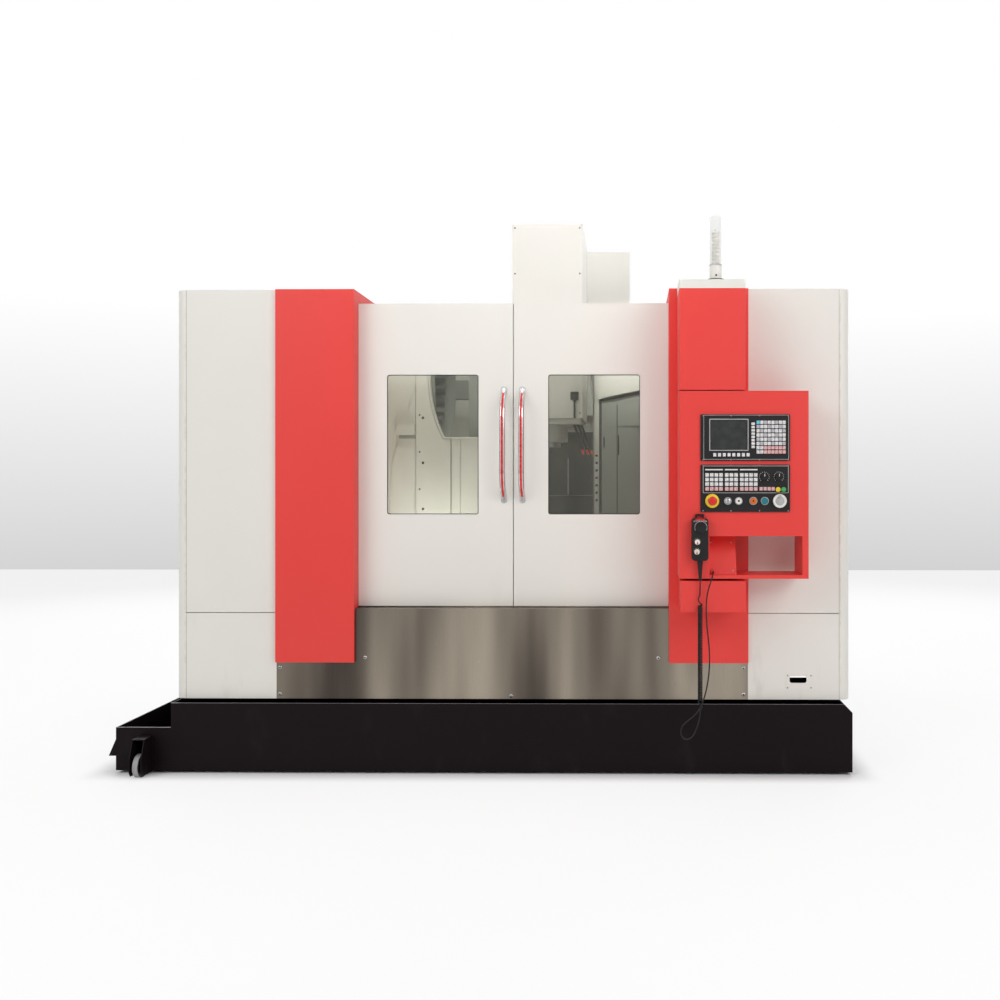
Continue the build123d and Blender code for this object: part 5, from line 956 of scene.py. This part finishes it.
# The dark and grey strips are painted shade: lines along the cover's edges, and the shadow under the ledge.
for name, outline, proud, finish in (
        ("changer_cover", cover_outline, 12, "white_paint"),
        ("changer_opening_rim", rim_outline, 20, "white_paint"),
        ("changer_ledge", ledge_outline, 42, "white_paint"),
        ("changer_gusset", gusset_outline, 12, "white_paint"),
        ("changer_lower_sheet", lower_outline, 6, "white_paint"),
        ("changer_seam", upright(-610, -606.5, 1240, OPENING_TOP), 2, "cover_steel"),
        ("changer_seam_right", upright(-412.5, -409, 1245, 1690), 1, "guard_grey"),
        ("changer_ledge_gap", ledge_shadow_outline, 7, "guard_grey"),
        ("changer_stiffener", upright(-372, -360, 1245, 1688), 7, "white_paint")):
    sheet(name, outline, proud, GUARD_FACE, finish)
DARK_SCREW = {"Steel_Material": finishes["cover_steel"], "Socket_Material": finishes["black_plastic"]}
cover_marks = [(-567, GUARD_FACE - 12, z) for z in (1300, 1558, 1810)]
small_marks = [(-586, GUARD_FACE - 12, z) for z in (1411, 1619, 1826)]
cast("changer_cover_screws", screw, cover_marks, Radius=0.0075, Height=0.004, **DARK_SCREW)
cast("changer_cover_pins", screw, small_marks, Radius=0.005, Height=0.003, **DARK_SCREW)

# %% Sheets on the splash wall behind the right window, and on the leaf behind the spindle
SPLASH_FACE, LEAF_FACE = 1740, 1750
STRIP_PROUD, NEAR_PROUD, FAR_PROUD, SLOT_HALF = 12, 8, 12, 4
# The grey back sheet is the white splash wall in painted shade, and the dark strip under the top sheet is a
# painted shadow.
for name, outline, proud, finish in (
        ("splash_edge_strip", upright(352, 380, 1240, 2320), STRIP_PROUD, "white_paint"),
        ("splash_back", upright(381, 900, 1240, 2320), 2, "guard_grey"),
        ("splash_top_sheet", [(381, 2008), (900, 2118), (900, 2325), (381, 2325)], 60, "white_paint"),
        ("splash_top_shadow", [(385, 1990), (890, 2090), (890, 2116), (385, 2008)], 4, "cover_steel")):
    sheet(name, outline, proud, SPLASH_FACE, finish)
# The panels are grey: painted shade on white sheet.
for name, box, proud in (("splash_panel_near", (408, 500, 1245, 1980), NEAR_PROUD),
                         ("splash_panel_far", (508, 640, 1245, 1915), FAR_PROUD)):
    plate(name, box, 14, SPLASH_FACE + SINK, SPLASH_FACE - proud, "guard_grey")
# The grey ridge is painted shade, and the dark strips at the panels' joint and at the corner fold are painted
# shade lines.
for name, outline, proud, finish in (
        ("splash_ridge", upright(510, 900, 1828, 1838), 22, "guard_grey"),
        ("splash_seam", upright(501, 507, 1245, 1975), 3, "cover_steel"),
        ("splash_corner", upright(384, 400, 1245, 1990), 3, "cover_steel")):
    sheet(name, outline, proud, SPLASH_FACE, finish)
# Black plates stand for the open slots: painted shade inside them.
for name, (x, low, high), proud in (("splash_slot_near", (416, 1681, 1755), NEAR_PROUD),
                                    ("splash_slot_far", (514, 1633, 1768), FAR_PROUD)):
    face = SPLASH_FACE - proud
    plate(name, (x - SLOT_HALF, x + SLOT_HALF, low, high), 3.5, face + SINK, face - 1, "black_plastic")
# Dark domes stand for the strip's holes: painted shade inside them.
strip_holes = [(366, SPLASH_FACE - STRIP_PROUD, 1330 + step * 50) for step in range(7)]
cast("splash_strip_holes", screw, strip_holes, Radius=0.0085, Height=0.002, **DARK_SCREW)
sheet("leaf_face", upright(-116, 340, 1362, 1788), 1, LEAF_FACE, "cover_steel", "head")
sheet("leaf_edge_strip", upright(171, 175.5, 1370, 1612), 3, LEAF_FACE, "chrome", "head")
print("sheets behind the windows")

# %% Folded edges of the front panels
PANEL_EDGE, PANEL_INNER, PANEL_BACK, ROOF_FRONT, ENCLOSURE_TOP = 1636, 1181, 21, 73, 2413
CORNER_X, CORNER_Y, CORNER_RADIUS, CORNER_STEPS = 1640, 50, 46.2, 6
BEAD_FOOT, BEAD_TOP = 367, 2411
corner_angles = [math.pi / 2 * step / CORNER_STEPS for step in range(CORNER_STEPS + 1)]
bend = [(CORNER_X + CORNER_RADIUS * math.sin(angle), CORNER_Y - CORNER_RADIUS * math.cos(angle))
        for angle in corner_angles]
top_corners = [(PANEL_INNER, ROOF_FRONT), (PANEL_INNER, PANEL_BACK), (PANEL_EDGE - 1, PANEL_BACK)] + bend
top_corners.append((CORNER_X + CORNER_RADIUS, ROOF_FRONT))
for hand, side in (("left", -1), ("right", 1)):
    fold = [[(side * x, y, ENCLOSURE_TOP - drop) for x, y in top_corners] for drop in (4, 0.2)]
    piece("panel_top_return_" + hand, fold, "white_paint")
    # Beside each bead runs a grey line: painted shade along the panel's folded edge.
    for name, near, far, proud, finish in (("corner_bead_", -1, 7, 1.4, "white_plastic"),
                                           ("corner_seam_", -2.4, -1.2, 0.5, "guard_grey")):
        x0, x1 = sorted((side * (PANEL_EDGE + near), side * (PANEL_EDGE + far)))
        sheet(name + hand, upright(x0, x1, BEAD_FOOT, BEAD_TOP), proud, 0, finish)
print("panel edges")

# %% Rims of the coolant tank, and the caster's cheeks and hub covers
TRAY_LEFT, TANK_LEFT, TANK_RIGHT, TRAY_TOP, TANK_TOP = -1969, -1694, 1652, 227, 349
TANK_FRONT, TANK_WALL, TRAY_BACK, RIM_PROUD = -40, 5, 650, 1.5
RIM_BACK = TANK_FRONT + TANK_WALL
# The rims are the lighter paint of a painted highlight on the tank's top edges.
for name, (x0, x1, y0, y1), top in (
        ("tray_rim_front", (TRAY_LEFT, TANK_LEFT, TANK_FRONT, RIM_BACK), TRAY_TOP),
        ("tray_rim_left", (TRAY_LEFT, TRAY_LEFT + TANK_WALL, RIM_BACK, TRAY_BACK), TRAY_TOP),
        ("tank_rim_front", (TANK_LEFT, TANK_RIGHT, TANK_FRONT, RIM_BACK), TANK_TOP)):
    rim = [[(x, y, z) for x, y in upright(x0, x1, y0, y1)] for z in (top - SINK, top + RIM_PROUD)]
    piece(name, rim, "worn_edge")
CASTER = (-1814, -107, 57.3)
CHEEK = ((-42, 14), (-146, 14), (-160, 36), (-160, 104), (-130, 186), (-42, 186))
CHEEK_NEAR, CHEEK_FAR, HUB_FACE, HUB_PROUD, HUB_RADIUS, HUB_BORE = 26.3, 31.7, 12.4, 1.2, 54, 10
for hand, side in (("left", -1), ("right", 1)):
    cheek = [[(CASTER[0] + side * out, y, z) for y, z in CHEEK] for out in (CHEEK_NEAR, CHEEK_FAR)]
    piece("caster_cheek_" + hand, cheek, "black_paint")
    face, crown = side * HUB_FACE, side * (HUB_FACE + HUB_PROUD)
    turned("caster_cover_" + hand, CASTER, RIGHT,
           [(HUB_RADIUS, face), (HUB_RADIUS, crown), (HUB_BORE, crown), (HUB_BORE, face)],
           "black_plastic", "caster_wheel", 48, True)
print("tank rims, caster cheeks and hub covers")

# %% Seals in the grooves of the side walls
SEAL_FRONT, SEAL_BACK, SEAL_FOOT, SEAL_TOP, GROOVE_WIDTH = 640.2, 1599.8, 960.2, 2139.8, 4.6
SEAL_DEEP, SEAL_SHALLOW = 1688.2, 1689.4


def frame_loop(x, inset):
    """A rectangle of the seal on a side wall, made smaller by the inset."""
    corners = upright(SEAL_FRONT + inset, SEAL_BACK - inset, SEAL_FOOT + inset, SEAL_TOP - inset)
    return [(x, y, z) for y, z in corners]


for side, where in ((-1, "left"), (1, "right")):
    deep, shallow = side * SEAL_DEEP, side * SEAL_SHALLOW
    seal = [frame_loop(x, inset) for x, inset in ((deep, 0), (shallow, 0), (shallow, GROOVE_WIDTH),
                                                  (deep, GROOVE_WIDTH))]
    piece("cover_seal_" + where, seal, "black_plastic", ring=True)
print("side covers sealed")

# %% [markdown]
# ## Floor, backdrop and light
# A product shot of a big machine is lit with wide, soft boxes and stands on a pale floor that fades into the
# wall. The floor is a white sheet that glows for the eye, except close to the machine, where the contact
# shadow stays. The wall is the world itself: white high up, grey down at the floor's far edge, but only where
# a camera, mirror or pane looks at it. The light that falls on the paint comes from the lamps and an even
# grey sky, at a level where a colour renders as it was written.

# %% Floor
FLOOR_HALF = 10.5
FLOOR_GLOW = 0.8
SHADOW_SIDE, SHADOW_FRONT, SHADOW_BACK = (2.0, 1.84), (-1.34, -1.16), (1.3, 1.1)
floor_mesh = bpy.data.meshes.new("studio_floor")
floor_grid = bmesh.new()
bmesh.ops.create_grid(floor_grid, x_segments=1, y_segments=1, size=FLOOR_HALF)
floor_grid.to_mesh(floor_mesh)
floor_grid.free()
studio_floor = bpy.data.objects.new("studio_floor", floor_mesh)
bpy.context.scene.collection.objects.link(studio_floor)


def looked_at(graph):
    """One where a camera, mirror or pane looks at the surface, zero for the light that it throws."""
    ray = graph.tree.nodes.new("ShaderNodeLightPath")
    eye, mirror, pane = [Wire(graph, ray.outputs["Is %s Ray" % kind])
                         for kind in ("Camera", "Glossy", "Transmission")]
    return eye + mirror + pane


paper = Finish("studio_floor", 0.9)
paper.set("Base Color", paper.blend(paper.noise(0.6), seen(1, 1, 1), seen(0.99, 0.99, 0.99)))
glow = paper.node("ShaderNodeEmission", {}, {"Color": (1, 1, 1, 1), "Strength": 1.0})
floor_x, floor_y = paper.axis("X"), paper.axis("Y")
contact = paper.ramp(floor_x, *SHADOW_SIDE) * paper.ramp(floor_x, *[-limit for limit in SHADOW_SIDE])
contact = contact * paper.ramp(floor_y, *SHADOW_FRONT) * paper.ramp(floor_y, *SHADOW_BACK)
lit = FLOOR_GLOW * (1 - contact) * looked_at(paper)
shown = paper.node("ShaderNodeMixShader", {}, {0: lit, 1: Wire(paper, paper.shader.outputs[0]), 2: glow})
paper.feed(paper.tree.nodes["Material Output"].inputs["Surface"], shown)
floor_mesh.materials.append(paper.material)
print("floor is", 2 * FLOOR_HALF, "m across")

# %% World: an even sky for the paint, a fading wall for eyes and mirrors
SKY_STRENGTH = 0.38
WALL_FOOT, WALL_TOP = 0.44, 0.58
world = bpy.data.worlds.new("studio_wall")
bpy.context.scene.world = world
world.use_nodes = True
sky = Graph(world.node_tree)
sky.tree.nodes.clear()
height = sky.node("ShaderNodeSeparateXYZ", {}, {0: sky.node("ShaderNodeTexCoord", out="Generated")}, out="Z")
fade = sky.tree.nodes.new("ShaderNodeValToRGB")
for stop, position, colour in zip(fade.color_ramp.elements, (WALL_FOOT, WALL_TOP),
                                  (seen(0.795, 0.795, 0.8), (1, 1, 1, 1))):
    stop.position, stop.color = position, colour
sky.feed(fade.inputs[0], height * 0.5 + 0.5)
wall = sky.node("ShaderNodeBackground", {}, {"Color": Wire(sky, fade.outputs[0])})
even = sky.node("ShaderNodeBackground", {}, {"Strength": SKY_STRENGTH})
chosen = sky.node("ShaderNodeMixShader", {}, {0: looked_at(sky), 1: even, 2: wall})
sky.feed(sky.tree.nodes.new("ShaderNodeOutputWorld").inputs[0], chosen)
print("wall fades to grey at the floor's edge")

# %% Soft boxes
def soft_box(name, place, aim, size, watts, spread=180):
    lamp_data = bpy.data.lights.new(name, "AREA")
    lamp_data.shape = "RECTANGLE"
    lamp_data.size, lamp_data.size_y = size
    lamp_data.energy = watts
    lamp_data.spread = math.radians(spread)
    lamp = bpy.data.objects.new(name, lamp_data)
    lamp.location = place
    lamp.rotation_euler = (Vector(aim) - Vector(place)).to_track_quat("-Z", "Y").to_euler()
    bpy.context.scene.collection.objects.link(lamp)
    return lamp


# Name, place, aim and size in scene metres, watts, and a narrower spread where one is needed
BOXES = (
    ("front_left_box", (-4.5, -6.5, 5.0), (-0.3, -1.0, 1.2), (4.0, 4.0), 165),
    ("front_right_box", (4.8, -6.0, 4.2), (0.6, -1.0, 1.2), (3.5, 3.5), 143),
    ("overhead_box", (0.0, 0.5, 7.5), (0.0, 0.0, 0.0), (6.0, 5.0), 200),
    ("high_front_box", (0.6, -5.5, 6.0), (0.25, -0.2, 2.7), (1.2, 0.8), 5, 36),
    ("work_light", (-0.33, -0.84, 1.02), (-0.46, -0.5, 1.75), (0.7, 0.1), 4.0),
    ("ceiling_light_left", (-0.4, -0.86, 2.28), (-0.45, -0.5, 1.85), (0.7, 0.08), 1.9),
    ("ceiling_light_right", (0.78, 0.1, 2.3), (0.78, 0.58, 2.12), (0.8, 0.08), 0.95, 80),
    ("rear_left_box", (-5.0, 6.0, 4.5), (0.0, 0.6, 1.2), (4.0, 4.0), 150),
    ("rear_right_box", (5.0, 6.0, 4.5), (0.0, 0.6, 1.2), (4.0, 4.0), 150),
)
for box_facts in BOXES:
    soft_box(*box_facts)
bpy.context.scene.view_settings.view_transform = "Standard"
print("lamps:", len(BOXES))

# %% [markdown]
# ## The last step
# The view layer is brought up to date.

# %% Update the view layer
bpy.context.view_layer.update()
